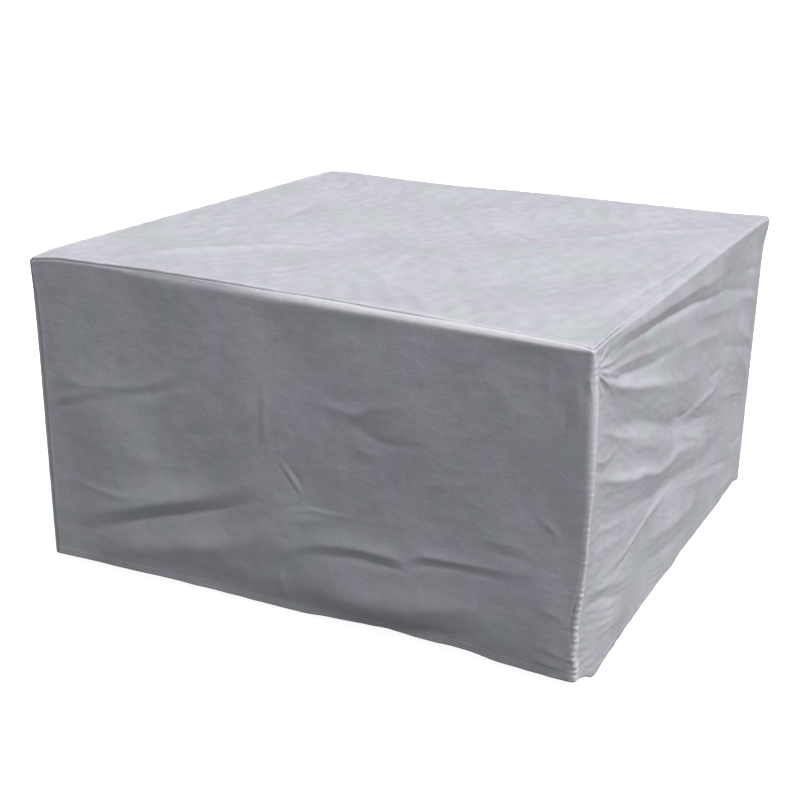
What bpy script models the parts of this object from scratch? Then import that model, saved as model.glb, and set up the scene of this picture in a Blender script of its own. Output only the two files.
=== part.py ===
"""Fitted box cover for patio furniture, sewn from five panels of coated silver-grey cloth.

The cover is a hollow box, open below. Every panel is a thin closed sheet. Its outer face is
worked out in three steps:
  1. a point on a plain square box is taken, by how far it lies along a panel and how high;
  2. the box's edges are rounded, its corners are moved to where the cloth hangs, and soft
     swells push the cloth in or out;
  3. the panel's own folds move the point along the cloth's normal.
Metres, +Z up. The origin is under the middle of the cover's top, on the cloth's lower face,
where the cover rests on what it covers. +X runs to the right along the front panel, and the
front panel faces -Y.
"""

from collections import namedtuple

import bpy
import numpy as np

# ---------------------------------------------------------------- driving dimensions
WIDTH = 1.350          # across the cover, both ways
DROP = 0.735           # from the top down to the hem
CLOTH = 0.0015         # thickness of the coated cloth
TOP_SAG = 0.005        # how far the middle of the top lies under its edges
HEM_CLOTH = 0.0026     # thickness where the hem is turned up and doubled
HEM_BAND = 0.022       # height of the turned hem
EDGE_RADIUS = 0.009    # softness of every folded edge of the box
SEAM_GAP = 0.0004      # between two panels at a seam, on their outer faces
SEAM_CALM = 0.035      # folds die out over this distance from a seam
FOLD_FADE = 0.15       # a fold's ends fade over this distance
FADE_INSIDE = 0.7      # the share of that fade that lies inside the fold's length
PROBE = 0.0002         # step for measuring the surface's slope
SEAM_KEY = (1, 1, 3)   # direction that orders the points along any seam

HALF = WIDTH / 2

# ---------------------------------------------------------------- how the cover hangs
# How far each corner of the cover lies off the square box.
Corner = namedtuple("Corner", "x_side y_side dx dy dz_top dx_hem dy_hem dz_hem")
CORNERS = [
    Corner(-1, -1, -0.010, -0.007, 0.006, 0.005, 0.003, -0.002),
    Corner(1, -1, -0.004, -0.004, -0.007, 0.009, 0.008, 0.009),
    Corner(1, 1, -0.001, 0.000, 0.001, -0.005, -0.005, -0.011),
    Corner(-1, 1, 0.010, 0.006, 0.003, 0.004, -0.004, -0.006),
]

# Soft swells: the cloth round (x, y, z) is pushed by (dx, dy, dz), fading over the radii.
Swell = namedtuple("Swell", "x y z x_radius y_radius z_radius dx dy dz")
SWELLS = [
    # the corner seam between the front and right panels bulges below its top
    Swell(0.675, -0.675, -0.240, 0.10, 0.10, 0.14, 0.024, 0.003, 0.0),
    Swell(0.675, -0.675, -0.470, 0.08, 0.08, 0.12, 0.010, 0.000, 0.0),
    # the top's back right corner sticks out like an ear
    Swell(0.675, 0.675, -0.015, 0.07, 0.07, 0.09, 0.010, 0.004, 0.0),
    # the right panel's hem stands out near the front, and wanders on from there
    Swell(0.675, -0.550, -0.735, 0.20, 0.12, 0.20, 0.016, 0.0, 0.0),
    Swell(0.675, 0.020, -0.735, 0.20, 0.15, 0.20, 0.005, 0.0, 0.0),
    Swell(0.675, 0.350, -0.735, 0.20, 0.14, 0.20, -0.006, 0.0, 0.0),
    # the front panel's hem rises between its corners
    Swell(0.040, -0.675, -0.735, 0.34, 0.20, 0.30, 0.0, 0.004, 0.016),
    # the left side stands out below its top edge, and the back hem wanders
    Swell(-0.675, -0.250, -0.735, 0.20, 0.25, 0.30, -0.016, 0.0, 0.0),
    Swell(-0.675, 0.300, -0.735, 0.20, 0.20, 0.22, 0.010, 0.0, 0.004),
    Swell(-0.250, 0.675, -0.735, 0.24, 0.20, 0.25, 0.0, 0.018, 0.0),
    Swell(0.330, 0.675, -0.735, 0.20, 0.20, 0.22, 0.0, -0.008, 0.005),
    # the top sags a little between its edges
    Swell(0.000, 0.000, 0.000, 0.45, 0.45, 0.20, 0.0, 0.0, -TOP_SAG),
]

# The four sides, in order round the box. A side starts at its left corner, seen from outside.
Side = namedtuple("Side", "name x_start y_start x_along y_along")
SIDES = [
    Side("front_panel", -1, -1, 1, 0),
    Side("right_panel", 1, -1, 0, 1),
    Side("back_panel", 1, 1, -1, 0),
    Side("left_panel", -1, 1, 0, -1),
]

# Folds. One that runs "along" has its ridge line at the heights from_at, mid_at and to_at over
# the hem; one that runs "up" has it at those distances from the panel's left corner. A fold
# with a height under zero is a trough. On the top panel, along is x and up is y.
Fold = namedtuple("Fold", "panel runs start end from_at mid_at to_at half_width height")
FOLDS = [
    Fold("front_panel", "along", 0.02, 0.66, 0.165, 0.185, 0.300, 0.045, 0.009),
    Fold("front_panel", "along", 0.08, 0.66, 0.105, 0.120, 0.225, 0.040, -0.005),
    Fold("front_panel", "along", 0.00, 0.60, 0.450, 0.478, 0.500, 0.040, 0.005),
    Fold("front_panel", "along", 0.70, 1.28, 0.205, 0.215, 0.250, 0.035, 0.006),
    Fold("front_panel", "along", 0.60, 1.05, 0.500, 0.505, 0.470, 0.050, 0.006),
    Fold("front_panel", "up", 0.25, 0.60, 0.560, 0.610, 0.630, 0.045, 0.005),
    Fold("front_panel", "up", 0.00, 0.45, 1.240, 1.265, 1.290, 0.030, 0.005),
    Fold("right_panel", "along", 0.03, 1.25, 0.715, 0.662, 0.712, 0.022, -0.010),
    Fold("right_panel", "along", 0.03, 0.95, 0.680, 0.615, 0.610, 0.032, 0.012),
    Fold("right_panel", "along", 0.03, 1.15, 0.610, 0.520, 0.560, 0.035, -0.011),
    Fold("right_panel", "along", 0.02, 1.15, 0.670, 0.465, 0.470, 0.036, 0.015),
    Fold("right_panel", "along", 0.05, 1.25, 0.445, 0.270, 0.235, 0.042, 0.014),
    Fold("right_panel", "along", 0.05, 1.25, 0.360, 0.190, 0.165, 0.040, -0.009),
    Fold("right_panel", "along", 0.10, 0.62, 0.180, 0.212, 0.212, 0.026, 0.008),
    Fold("back_panel", "along", 0.04, 1.00, 0.650, 0.500, 0.520, 0.045, 0.010),
    Fold("back_panel", "along", 0.30, 1.30, 0.330, 0.300, 0.480, 0.050, 0.009),
    Fold("back_panel", "up", 0.00, 0.40, 0.800, 0.830, 0.870, 0.050, -0.008),
    Fold("left_panel", "along", 0.04, 1.10, 0.440, 0.360, 0.600, 0.050, 0.010),
    Fold("left_panel", "up", 0.00, 0.45, 0.420, 0.440, 0.500, 0.050, 0.009),
    Fold("top_panel", "along", -0.64, -0.10, -0.540, -0.340, -0.150, 0.040, 0.003),
    Fold("top_panel", "along", 0.22, 0.62, 0.150, 0.400, 0.630, 0.035, 0.003),
    Fold("top_panel", "up", -0.60, 0.60, 0.600, 0.585, 0.610, 0.030, 0.003),
]

# How far the front panel reaches over onto the top, by how far along the seam it is.
Reach = namedtuple("Reach", "along over")
FRONT_OVER_TOP = [
    Reach(0.000, 0.000),
    Reach(0.040, 0.020),
    Reach(0.110, 0.036),
    Reach(0.350, 0.044),
    Reach(0.760, 0.044),
    Reach(0.950, 0.024),
    Reach(1.120, 0.012),
    Reach(1.350, 0.000),
]
# How far the left panel reaches round the corner onto the front, by height over the hem.
LEFT_OVER_FRONT = [
    Reach(0.000, 0.010),
    Reach(0.550, 0.013),
    Reach(0.650, 0.009),
    Reach(0.735, 0.000),
]

# ---------------------------------------------------------------- grid of the panels
# Neighbouring panels are cut at the same places along their seam, so that it stays even.
CUTS_ACROSS = 16                       # between one folded edge and the next
CUTS_UP = 20                           # between the hem and the top's folded edge
CORNER_STEPS = (0.0, 0.45, 1.0)        # cuts on an upright folded edge, in edge radii
TOP_EDGE_STEPS = (0.0, 0.33, 0.67, 1.0)  # cuts under the top's folded edge, in edge radii
OVER_STEPS = (-1.0, -0.2, 0.8)         # the same three rows where a panel goes over the edge
CORNER_SPREAD = 0.10                   # cuts this near a moved corner seam move with it
TOP_SPREAD = 0.15                      # the same behind the front's seam on the top

CLOTH_COLOUR = (0.52, 0.53, 0.56, 1.0)
CLOTH_ROUGHNESS = 0.55


def reach(table, along):
    """How far a panel reaches past the box's edge, read between the rows of its table."""
    at = [row.along for row in table]
    over = [row.over for row in table]
    return np.interp(along, at, over)


def ease(value):
    """0 below zero, 1 above one, and a smooth step between."""
    value = np.clip(value, 0.0, 1.0)
    return value * value * (3.0 - 2.0 * value)


# ---------------------------------------------------------------- the cover's surface
def on_side(side, along, up):
    """Point of the square box at a distance along a side and a height over the hem.

    Past the side's ends it goes on round the corner, and above the top edge it goes on over
    the top, so that slopes can be measured on the edges themselves.
    """
    before = np.maximum(-along, 0.0)
    after = np.maximum(along - WIDTH, 0.0)
    over = np.maximum(up - DROP, 0.0)
    run = np.clip(along, 0.0, WIDTH)
    inward = before + after + over
    x = side.x_start * HALF + side.x_along * run - side.y_along * inward
    y = side.y_start * HALF + side.y_along * run + side.x_along * inward
    z = np.minimum(up, DROP) - DROP
    return np.stack([x, y, z], axis=-1)


def on_top(x, y):
    """Point of the square box at (x, y) on the top, going on down the sides past its edges."""
    down = np.maximum(np.abs(x) - HALF, 0.0) + np.maximum(np.abs(y) - HALF, 0.0)
    return np.stack([np.clip(x, -HALF, HALF), np.clip(y, -HALF, HALF), -down], axis=-1)


def rounded(box):
    """The square box's point moved onto the box with round edges.

    The point is clamped to a box that is smaller by the radius, and set back out from there by
    one radius. The box goes on below the hem, so the hem itself isn't rounded.
    """
    inner = HALF - EDGE_RADIUS
    core = np.stack(
        [
            np.clip(box[..., 0], -inner, inner),
            np.clip(box[..., 1], -inner, inner),
            np.minimum(box[..., 2], -EDGE_RADIUS),
        ],
        axis=-1,
    )
    away = box - core
    return core + EDGE_RADIUS * away / np.linalg.norm(away, axis=-1, keepdims=True)


def hung(point):
    """The rounded box's point moved to where the cloth hangs: corners first, then swells.

    The box's top is at z = 0, and the whole cover is raised so that its sagging middle rests
    there with its lower face.
    """
    x, y, z = point[..., 0], point[..., 1], point[..., 2]
    move = np.zeros_like(point)
    move[..., 2] = TOP_SAG + CLOTH
    low = -z / DROP
    for c in CORNERS:
        share = (1 + c.x_side * x / HALF) * (1 + c.y_side * y / HALF) / 4
        move[..., 0] += share * (c.dx * (1 - low) + c.dx_hem * low)
        move[..., 1] += share * (c.dy * (1 - low) + c.dy_hem * low)
        move[..., 2] += share * (c.dz_top * (1 - low) + c.dz_hem * low)
    for s in SWELLS:
        off = ((x - s.x) / s.x_radius) ** 2 + ((y - s.y) / s.y_radius) ** 2
        off += ((z - s.z) / s.z_radius) ** 2
        share = np.exp(-off)
        move += share[..., None] * np.array([s.dx, s.dy, s.dz])
    return point + move


def normal_of(surface, along, up):
    """Outward unit normal of a surface function, from its slopes both ways."""
    one = surface(along + PROBE, up) - surface(along - PROBE, up)
    two = surface(along, up + PROBE) - surface(along, up - PROBE)
    across = np.cross(one, two)
    return across / np.linalg.norm(across, axis=-1, keepdims=True)


def fold_height(panel, along, up, calm):
    """Sum of a panel's folds at a point, in metres along the cloth's normal.

    A fold is a bell-shaped ridge on a line through three heights, and fades at both ends.
    """
    total = np.zeros_like(along)
    for f in FOLDS:
        if f.panel != panel:
            continue
        run, off = (along, up) if f.runs == "along" else (up, along)
        t = np.clip((run - f.start) / (f.end - f.start), 0.0, 1.0)
        bow = f.mid_at - (f.from_at + f.to_at) / 2
        line = f.from_at + (f.to_at - f.from_at) * t + 4 * bow * t * (1 - t)
        outside = np.maximum(f.start - run, run - f.end)
        fade = 1 - ease(outside / FOLD_FADE + FADE_INSIDE)
        total += f.height * fade * np.exp(-(((off - line) / f.half_width) ** 2))
    return total * calm


def cloth_surface(panel, place, calmness):
    """A panel's finished outer face as a function of along and up."""

    def smooth(along, up):
        return hung(rounded(place(along, up)))

    def finished(along, up):
        lift = fold_height(panel, along, up, calmness(along, up))
        return smooth(along, up) + lift[..., None] * normal_of(smooth, along, up)

    return finished


# ---------------------------------------------------------------- from surface to solid
def cuts(low, high, count, low_steps, high_steps):
    """Grid cuts from low to high, closer together on the folded edges at either end."""
    first = low + EDGE_RADIUS * np.array(low_steps)
    last = high - EDGE_RADIUS * np.array(high_steps)[::-1]
    middle = np.linspace(first[-1], last[0], count + 1)[1:-1]
    return np.concatenate([first, middle, last])


def pulled_back(surface, along, up, d_along, d_up):
    """Half a seam's gap at a border, in the surface's own coordinates.

    Near a folded edge the coordinates run faster than the cloth, so the pull is scaled.
    """
    ahead = surface(along + d_along * PROBE, up + d_up * PROBE)
    behind = surface(along - d_along * PROBE, up - d_up * PROBE)
    pace = np.linalg.norm(ahead - behind, axis=-1) / (2 * PROBE)
    return SEAM_GAP / 2 / pace


def rim_faces(points, border, shift):
    """Triangles that close a sheet's border, from its outer points to its inner ones.

    Each step of the border is cut along the diagonal from its low outer point to its high inner
    one, low and high being the same for both panels at a seam, so that twisted rims stay apart.
    """
    after = np.roll(border, -1)
    key = points @ np.array(SEAM_KEY)
    rising = (key[border] < key[after])[:, None]
    inside, inside_after = border + shift, after + shift
    one = np.where(
        rising,
        np.stack([border, inside, inside_after], axis=1),
        np.stack([border, inside, after], axis=1),
    )
    two = np.where(
        rising,
        np.stack([border, inside_after, after], axis=1),
        np.stack([inside, inside_after, after], axis=1),
    )
    return np.concatenate([one, two])


def split_cells(points, index):
    """Triangles of a grid's cells, each cell cut along its shorter diagonal."""
    low_left = index[:-1, :-1].ravel()
    low_right = index[:-1, 1:].ravel()
    top_right = index[1:, 1:].ravel()
    top_left = index[1:, :-1].ravel()
    one_way = np.linalg.norm(points[top_right] - points[low_left], axis=-1)
    other_way = np.linalg.norm(points[top_left] - points[low_right], axis=-1)
    first = (one_way <= other_way)[:, None]
    one = np.where(
        first,
        np.stack([low_left, low_right, top_right], axis=1),
        np.stack([low_left, low_right, top_left], axis=1),
    )
    two = np.where(
        first,
        np.stack([low_left, top_right, top_left], axis=1),
        np.stack([low_right, top_right, top_left], axis=1),
    )
    return np.concatenate([one, two])


def sheet_object(name, surface, along, up, thickness):
    """Closed sheet: the outer grid, the inner grid one thickness behind it, and a rim.

    Both faces are cut into the same triangles, so that the cloth keeps its thickness where a
    fold twists a cell.
    """
    outer = surface(along, up)
    normal = normal_of(surface, along, up)
    inner = outer - thickness[..., None] * normal
    rows, columns = along.shape
    index = np.arange(rows * columns).reshape(rows, columns)
    shift = rows * columns
    front = split_cells(outer.reshape(-1, 3), index)
    back = front[:, ::-1] + shift
    border = np.concatenate(
        [index[0, :], index[1:, -1], index[-1, -2::-1], index[-2:0:-1, 0]]
    )
    points = np.concatenate([outer.reshape(-1, 3), inner.reshape(-1, 3)])
    mesh = bpy.data.meshes.new(name)
    faces = front.tolist() + back.tolist() + rim_faces(points, border, shift).tolist()
    mesh.from_pydata(points.tolist(), [], faces)
    mesh.shade_smooth()
    obj = bpy.data.objects.new(name, mesh)
    bpy.context.scene.collection.objects.link(obj)
    mesh.materials.append(cloth_material(name))
    return obj


def cloth_material(name):
    """Silver-grey coated cloth, with a soft sheen from its coating."""
    material = bpy.data.materials.new(name + "_cloth")
    material.use_nodes = True
    shader = material.node_tree.nodes["Principled BSDF"]
    shader.inputs["Base Color"].default_value = CLOTH_COLOUR
    shader.inputs["Roughness"].default_value = CLOTH_ROUGHNESS
    shader.inputs["Metallic"].default_value = 0.0
    return material


# ---------------------------------------------------------------- the five panels
def side_panel(side, over_top=(), over_next=(), from_before=()):
    """One side of the cover, from its hem up to its seam with the top panel.

    over_top tells how far it reaches onto the top, over_next how far it reaches round its
    right corner onto the next side, and from_before how far the side before it reaches onto
    this one.
    """
    over_top = over_top or [Reach(0.0, 0.0)]
    over_next = over_next or [Reach(0.0, 0.0)]
    from_before = from_before or [Reach(0.0, 0.0)]

    def place(along, up):
        return on_side(side, along, up)

    def calmness(along, up):
        ends = np.minimum(along - reach(from_before, up), WIDTH - along)
        return ease(ends / SEAM_CALM) * ease((DROP - up) / SEAM_CALM)

    surface = cloth_surface(side.name, place, calmness)
    along, up = np.meshgrid(
        cuts(0.0, WIDTH, CUTS_ACROSS, CORNER_STEPS, CORNER_STEPS),
        cuts(0.0, DROP, CUTS_UP, (0.0,), TOP_EDGE_STEPS),
    )
    # the last rows spread over the top's folded edge as far as the panel reaches
    over = reach(over_top, along[0])
    spread = np.clip(over / (2 * EDGE_RADIUS), 0.0, 1.0)
    for row, step in zip((-4, -3, -2), OVER_STEPS):
        up[row] += spread * (DROP + step * EDGE_RADIUS - up[row])
    up[-1] += over
    # the first and last columns move to the corner seams
    start = reach(from_before, up[:, :1])
    beyond = reach(over_next, up[:, -1:])
    along_now = along.copy()
    along += start * (1 - ease(along_now / CORNER_SPREAD))
    along += beyond * ease(1 - (WIDTH - along_now) / EDGE_RADIUS)
    along[:, 0] += pulled_back(surface, along[:, 0], up[:, 0], 1, 0)
    along[:, -1] -= pulled_back(surface, along[:, -1], up[:, -1], 1, 0)
    up[-1] -= pulled_back(surface, along[-1], up[-1], 0, 1)
    doubled = ease(2 * (HEM_BAND - up) / HEM_BAND)
    thickness = CLOTH + (HEM_CLOTH - CLOTH) * doubled
    return sheet_object(side.name, surface, along, up, thickness)


def top_panel(front_over_top):
    """The square top, cut back in front where the front panel reaches over the edge."""
    name = "top_panel"

    def calmness(x, y):
        front = reach(front_over_top, x + HALF) - HALF
        ends = np.minimum(HALF - np.abs(x), np.minimum(HALF - y, y - front))
        return ease(ends / SEAM_CALM)

    surface = cloth_surface(name, on_top, calmness)
    across = cuts(-HALF, HALF, CUTS_ACROSS, CORNER_STEPS, CORNER_STEPS)
    x, y = np.meshgrid(across, across)
    over = reach(front_over_top, x + HALF)
    y += over * (1 - ease((y + HALF) / TOP_SPREAD))
    x[:, 0] += pulled_back(surface, x[:, 0], y[:, 0], 1, 0)
    x[:, -1] -= pulled_back(surface, x[:, -1], y[:, -1], 1, 0)
    y[0] += pulled_back(surface, x[0], y[0], 0, 1)
    y[-1] -= pulled_back(surface, x[-1], y[-1], 0, 1)
    return sheet_object(name, surface, x, y, np.full_like(x, CLOTH))


def main():
    """Empty the scene and build the five panels."""
    for old in list(bpy.data.objects):
        bpy.data.objects.remove(old, do_unlink=True)
    front, right, back, left = SIDES
    side_panel(front, over_top=FRONT_OVER_TOP, from_before=LEFT_OVER_FRONT)
    side_panel(right)
    side_panel(back)
    side_panel(left, over_next=LEFT_OVER_FRONT)
    top_panel(FRONT_OVER_TOP)


main()
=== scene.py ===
"""Looks of the fitted furniture cover: five sewn panels of coated silver-grey cloth.

Each panel is one surface over two parameters, how far along the panel and how far up it. A point
of a square box is moved onto the box with round edges, then to where the cloth hangs, and then
along the cloth's normal by the folds, creases, seams and hem. Metres, +Z up, in the frame of the
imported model: the front panel faces -Y and the right panel faces +X. Some tables are written in
millimetres, and say so.
"""

from collections import namedtuple

import bpy
import numpy as np
from mathutils import Matrix, Vector


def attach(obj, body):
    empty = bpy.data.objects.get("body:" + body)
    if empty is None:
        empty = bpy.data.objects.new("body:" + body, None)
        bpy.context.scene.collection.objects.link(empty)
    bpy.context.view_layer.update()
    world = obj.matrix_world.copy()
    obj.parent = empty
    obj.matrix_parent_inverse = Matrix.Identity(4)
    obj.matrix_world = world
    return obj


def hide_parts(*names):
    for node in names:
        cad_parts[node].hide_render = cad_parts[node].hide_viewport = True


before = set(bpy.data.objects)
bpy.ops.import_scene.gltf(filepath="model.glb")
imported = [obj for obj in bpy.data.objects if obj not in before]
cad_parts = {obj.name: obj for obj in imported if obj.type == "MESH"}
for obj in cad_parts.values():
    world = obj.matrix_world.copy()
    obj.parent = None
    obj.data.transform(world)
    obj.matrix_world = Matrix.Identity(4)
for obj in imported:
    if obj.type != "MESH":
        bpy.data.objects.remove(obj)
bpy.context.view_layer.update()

# ---------------------------------------------------------------- the cover's sizes
WIDTH = 1.350          # across the cover, both ways
DROP = 0.735           # from the top down to the hem
CAD_CLOTH = 0.0015     # thickness of the cloth's solids, which sets how high the cover lies
TOP_SAG = 0.005        # how far the middle of the top lies under its edges
EDGE_RADIUS = 0.009    # softness of every folded edge of the box
PROBE = 0.0002         # step for measuring the surface's slope
HALF = WIDTH / 2

CLOTH = 0.0008         # thickness of the cloth
HEM_CLOTH = 0.0018     # where the hem is turned up and doubled
HEM_BAND = 0.020       # height of the turned hem, up to its row of stitches


def metres(*rows):
    """A table's columns in metres, from its rows in millimetres."""
    return np.array(rows).T / 1000


# How far each corner of the cover lies off the square box.
Corner = namedtuple("Corner", "x_side y_side dx dy dz_top dx_hem dy_hem dz_hem")
CORNERS = [
    Corner(-1, -1, -0.0180, -0.007, 0.0110, 0.0003, 0.003, -0.002),
    Corner(1, -1, -0.004, -0.004, -0.007, 0.009, 0.008, -0.001),
    Corner(1, 1, 0.003, 0.000, 0.0140, -0.002, -0.005, -0.005),
    Corner(-1, 1, 0.010, 0.006, 0.010, 0.004, -0.004, -0.006),
]

# Soft swells: the cloth round (x, y, z) is pushed by (dx, dy, dz), fading over the radii.
Swell = namedtuple("Swell", "x y z x_radius y_radius z_radius dx dy dz")
SWELLS = [
    # the top's front left and back right corners stick out a little, and its back left one is low
    Swell(-0.675, -0.675, -0.006, 0.045, 0.045, 0.045, -0.004, 0.0, -0.0080),
    Swell(0.675, 0.675, -0.010, 0.050, 0.050, 0.045, 0.009, 0.004, 0.004),
    Swell(-0.675, 0.675, -0.002, 0.034, 0.034, 0.032, -0.002, 0.000, -0.003),
    # the right panel's hem stands out near the front
    Swell(0.675, -0.550, -0.735, 0.20, 0.12, 0.20, 0.010, 0.0, 0.0),
    # the front panel's hem is turned under between its corners
    Swell(0.090, -0.675, -0.735, 0.46, 0.10, 0.050, 0.0, 0.018, 0.0),
    Swell(0.040, -0.675, -0.735, 0.34, 0.20, 0.30, 0.0, 0.004, 0.0),
    # the left side stands out below its top edge, and the back hem wanders
    Swell(-0.675, -0.250, -0.735, 0.20, 0.25, 0.30, -0.016, 0.0, 0.0),
    Swell(-0.675, 0.300, -0.735, 0.20, 0.20, 0.22, 0.010, 0.0, 0.004),
    Swell(-0.250, 0.675, -0.735, 0.24, 0.20, 0.25, 0.0, 0.018, 0.0),
    Swell(0.330, 0.675, -0.735, 0.20, 0.20, 0.22, 0.0, -0.008, 0.005),
    # the back's top edge dips near the left, and the top sags a little between its edges
    Swell(-0.290, 0.675, 0.000, 0.22, 0.12, 0.05, 0.0, 0.0, -0.0055),
    Swell(0.000, 0.000, 0.000, 0.45, 0.45, 0.20, 0.0, 0.0, -TOP_SAG),
]

# The near corner's edge: the height over the hem, how far it stands out, and how round it is.
# Tables that go through metres() are written in millimetres.
NEAR_CORNER = metres(
    (0, -13, 16), (50, -14.5, 16), (100, -12.5, 16), (160, -8, 16), (220, -1, 15), (280, 6, 14),
    (350, 8.5, 14), (430, 11.5, 14), (520, 11.5, 16), (600, 10, 16), (672, 6.5, 13), (700, 5.5, 9),
    (735, 5.5, 7),
)
NEAR_CORNER_ACROSS = 0.085     # how far from the edge this dies out

# The front's top edge: the way along it, how far it is lifted, and how round it is.
FRONT_TOP_EDGE = metres(
    (0, 0, 8), (130, 4.2, 8), (200, 6.4, 10), (270, 8.4, 16), (330, 9.8, 21), (390, 10, 23),
    (500, 9.2, 23), (620, 6.8, 23), (700, 6.8, 22), (760, 7.2, 21), (810, 6.8, 21), (870, 5.6, 20),
    (950, 5.2, 19), (1010, 4.5, 18), (1100, 3, 16.5), (1170, 2.2, 15), (1300, 1, 13), (1350, 0, 9),
)
LIP_ACROSS = 0.060             # how far from the edge its lift dies out

# Where the greater radii of these two edges come in, off the box's middle, and over which way;
# and where the lip's comes in, under the top.
SOFT_FROM, SOFT_OVER = 0.50, 0.10
LIP_FROM, LIP_OVER = 0.08, 0.04

# The four sides, in order round the box. A side starts at its left corner, seen from outside.
Side = namedtuple("Side", "name x_start y_start x_along y_along")
SIDES = [
    Side("front_panel", -1, -1, 1, 0),
    Side("right_panel", 1, -1, 0, 1),
    Side("back_panel", 1, 1, -1, 0),
    Side("left_panel", -1, 1, 0, -1),
]

# How far a panel reaches past the box's edge onto its neighbour: the way along the seam, and
# the reach.
FRONT_OVER_TOP = metres(
    (0, 0), (50, 1), (130, 1), (200, 2), (270, 5), (330, 9), (390, 11), (490, 15), (600, 20),
    (700, 22.5), (810, 21.5), (870, 20.5), (1010, 18.5), (1120, 16.5), (1250, 14), (1320, 10),
    (1350, 0),
)
LEFT_OVER_FRONT = metres((0, 10), (550, 13), (650, 9), (735, 0))
FRONT_OVER_RIGHT = metres(
    (0, 6), (35, 8), (60, 0), (85, 6), (125, 1), (160, 5), (300, 4), (400, 6), (450, 11),
    (500, 16), (690, 16), (715, 12), (735, 4),
)
ZIGZAG, ZIGZAG_PITCH = 0.0016, 0.0175     # how the gathered foot of that last seam strays
GATHERED_TO, GATHERED_FADE = 0.17, 0.08   # where the gathers end, and over which height

# How far a side's hem lies over the straight line from corner to corner: the way along, and
# the rise.
STRAIGHT_HEM = metres((0, 0), (1350, 0))
HEMS = {
    "front_panel": metres(
        (0, 0), (90, 0.2), (250, 2.5), (400, -2), (500, -3.2), (600, -3.8), (680, -6.2), (750, -2),
        (850, 5), (900, 6.8), (970, 3.6), (1050, 5.4), (1100, 5.6), (1150, 2), (1270, 2),
        (1350, 0),
    ),
    "right_panel": metres(
        (0, 0), (20, 1), (46, -3.5), (86, -20), (135, -4), (207, -6.7), (287, -12.5), (352, -12.5),
        (413, -11.5), (474, -7.5), (535, -3), (600, 7), (660, 8.5), (730, 11.5), (812, 2),
        (1000, 1.5), (1075, 8.5), (1150, 19.5), (1230, 14), (1300, 7.5), (1350, 0),
    ),
}
HEM_FADE = 0.12        # the height over which a hem's rise dies out

# ---------------------------------------------------------------- folds
# A fold's line runs through its points. Its crest is as wide as start at one end and end at the
# other, and highest at peak, a share of its length. soft is how round the crest is, in widths,
# and lean makes one side steeper: the lower one where it is above 0. A height under zero is a
# trough.
Fold = namedtuple("Fold", "start end height soft lean peak points")

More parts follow.
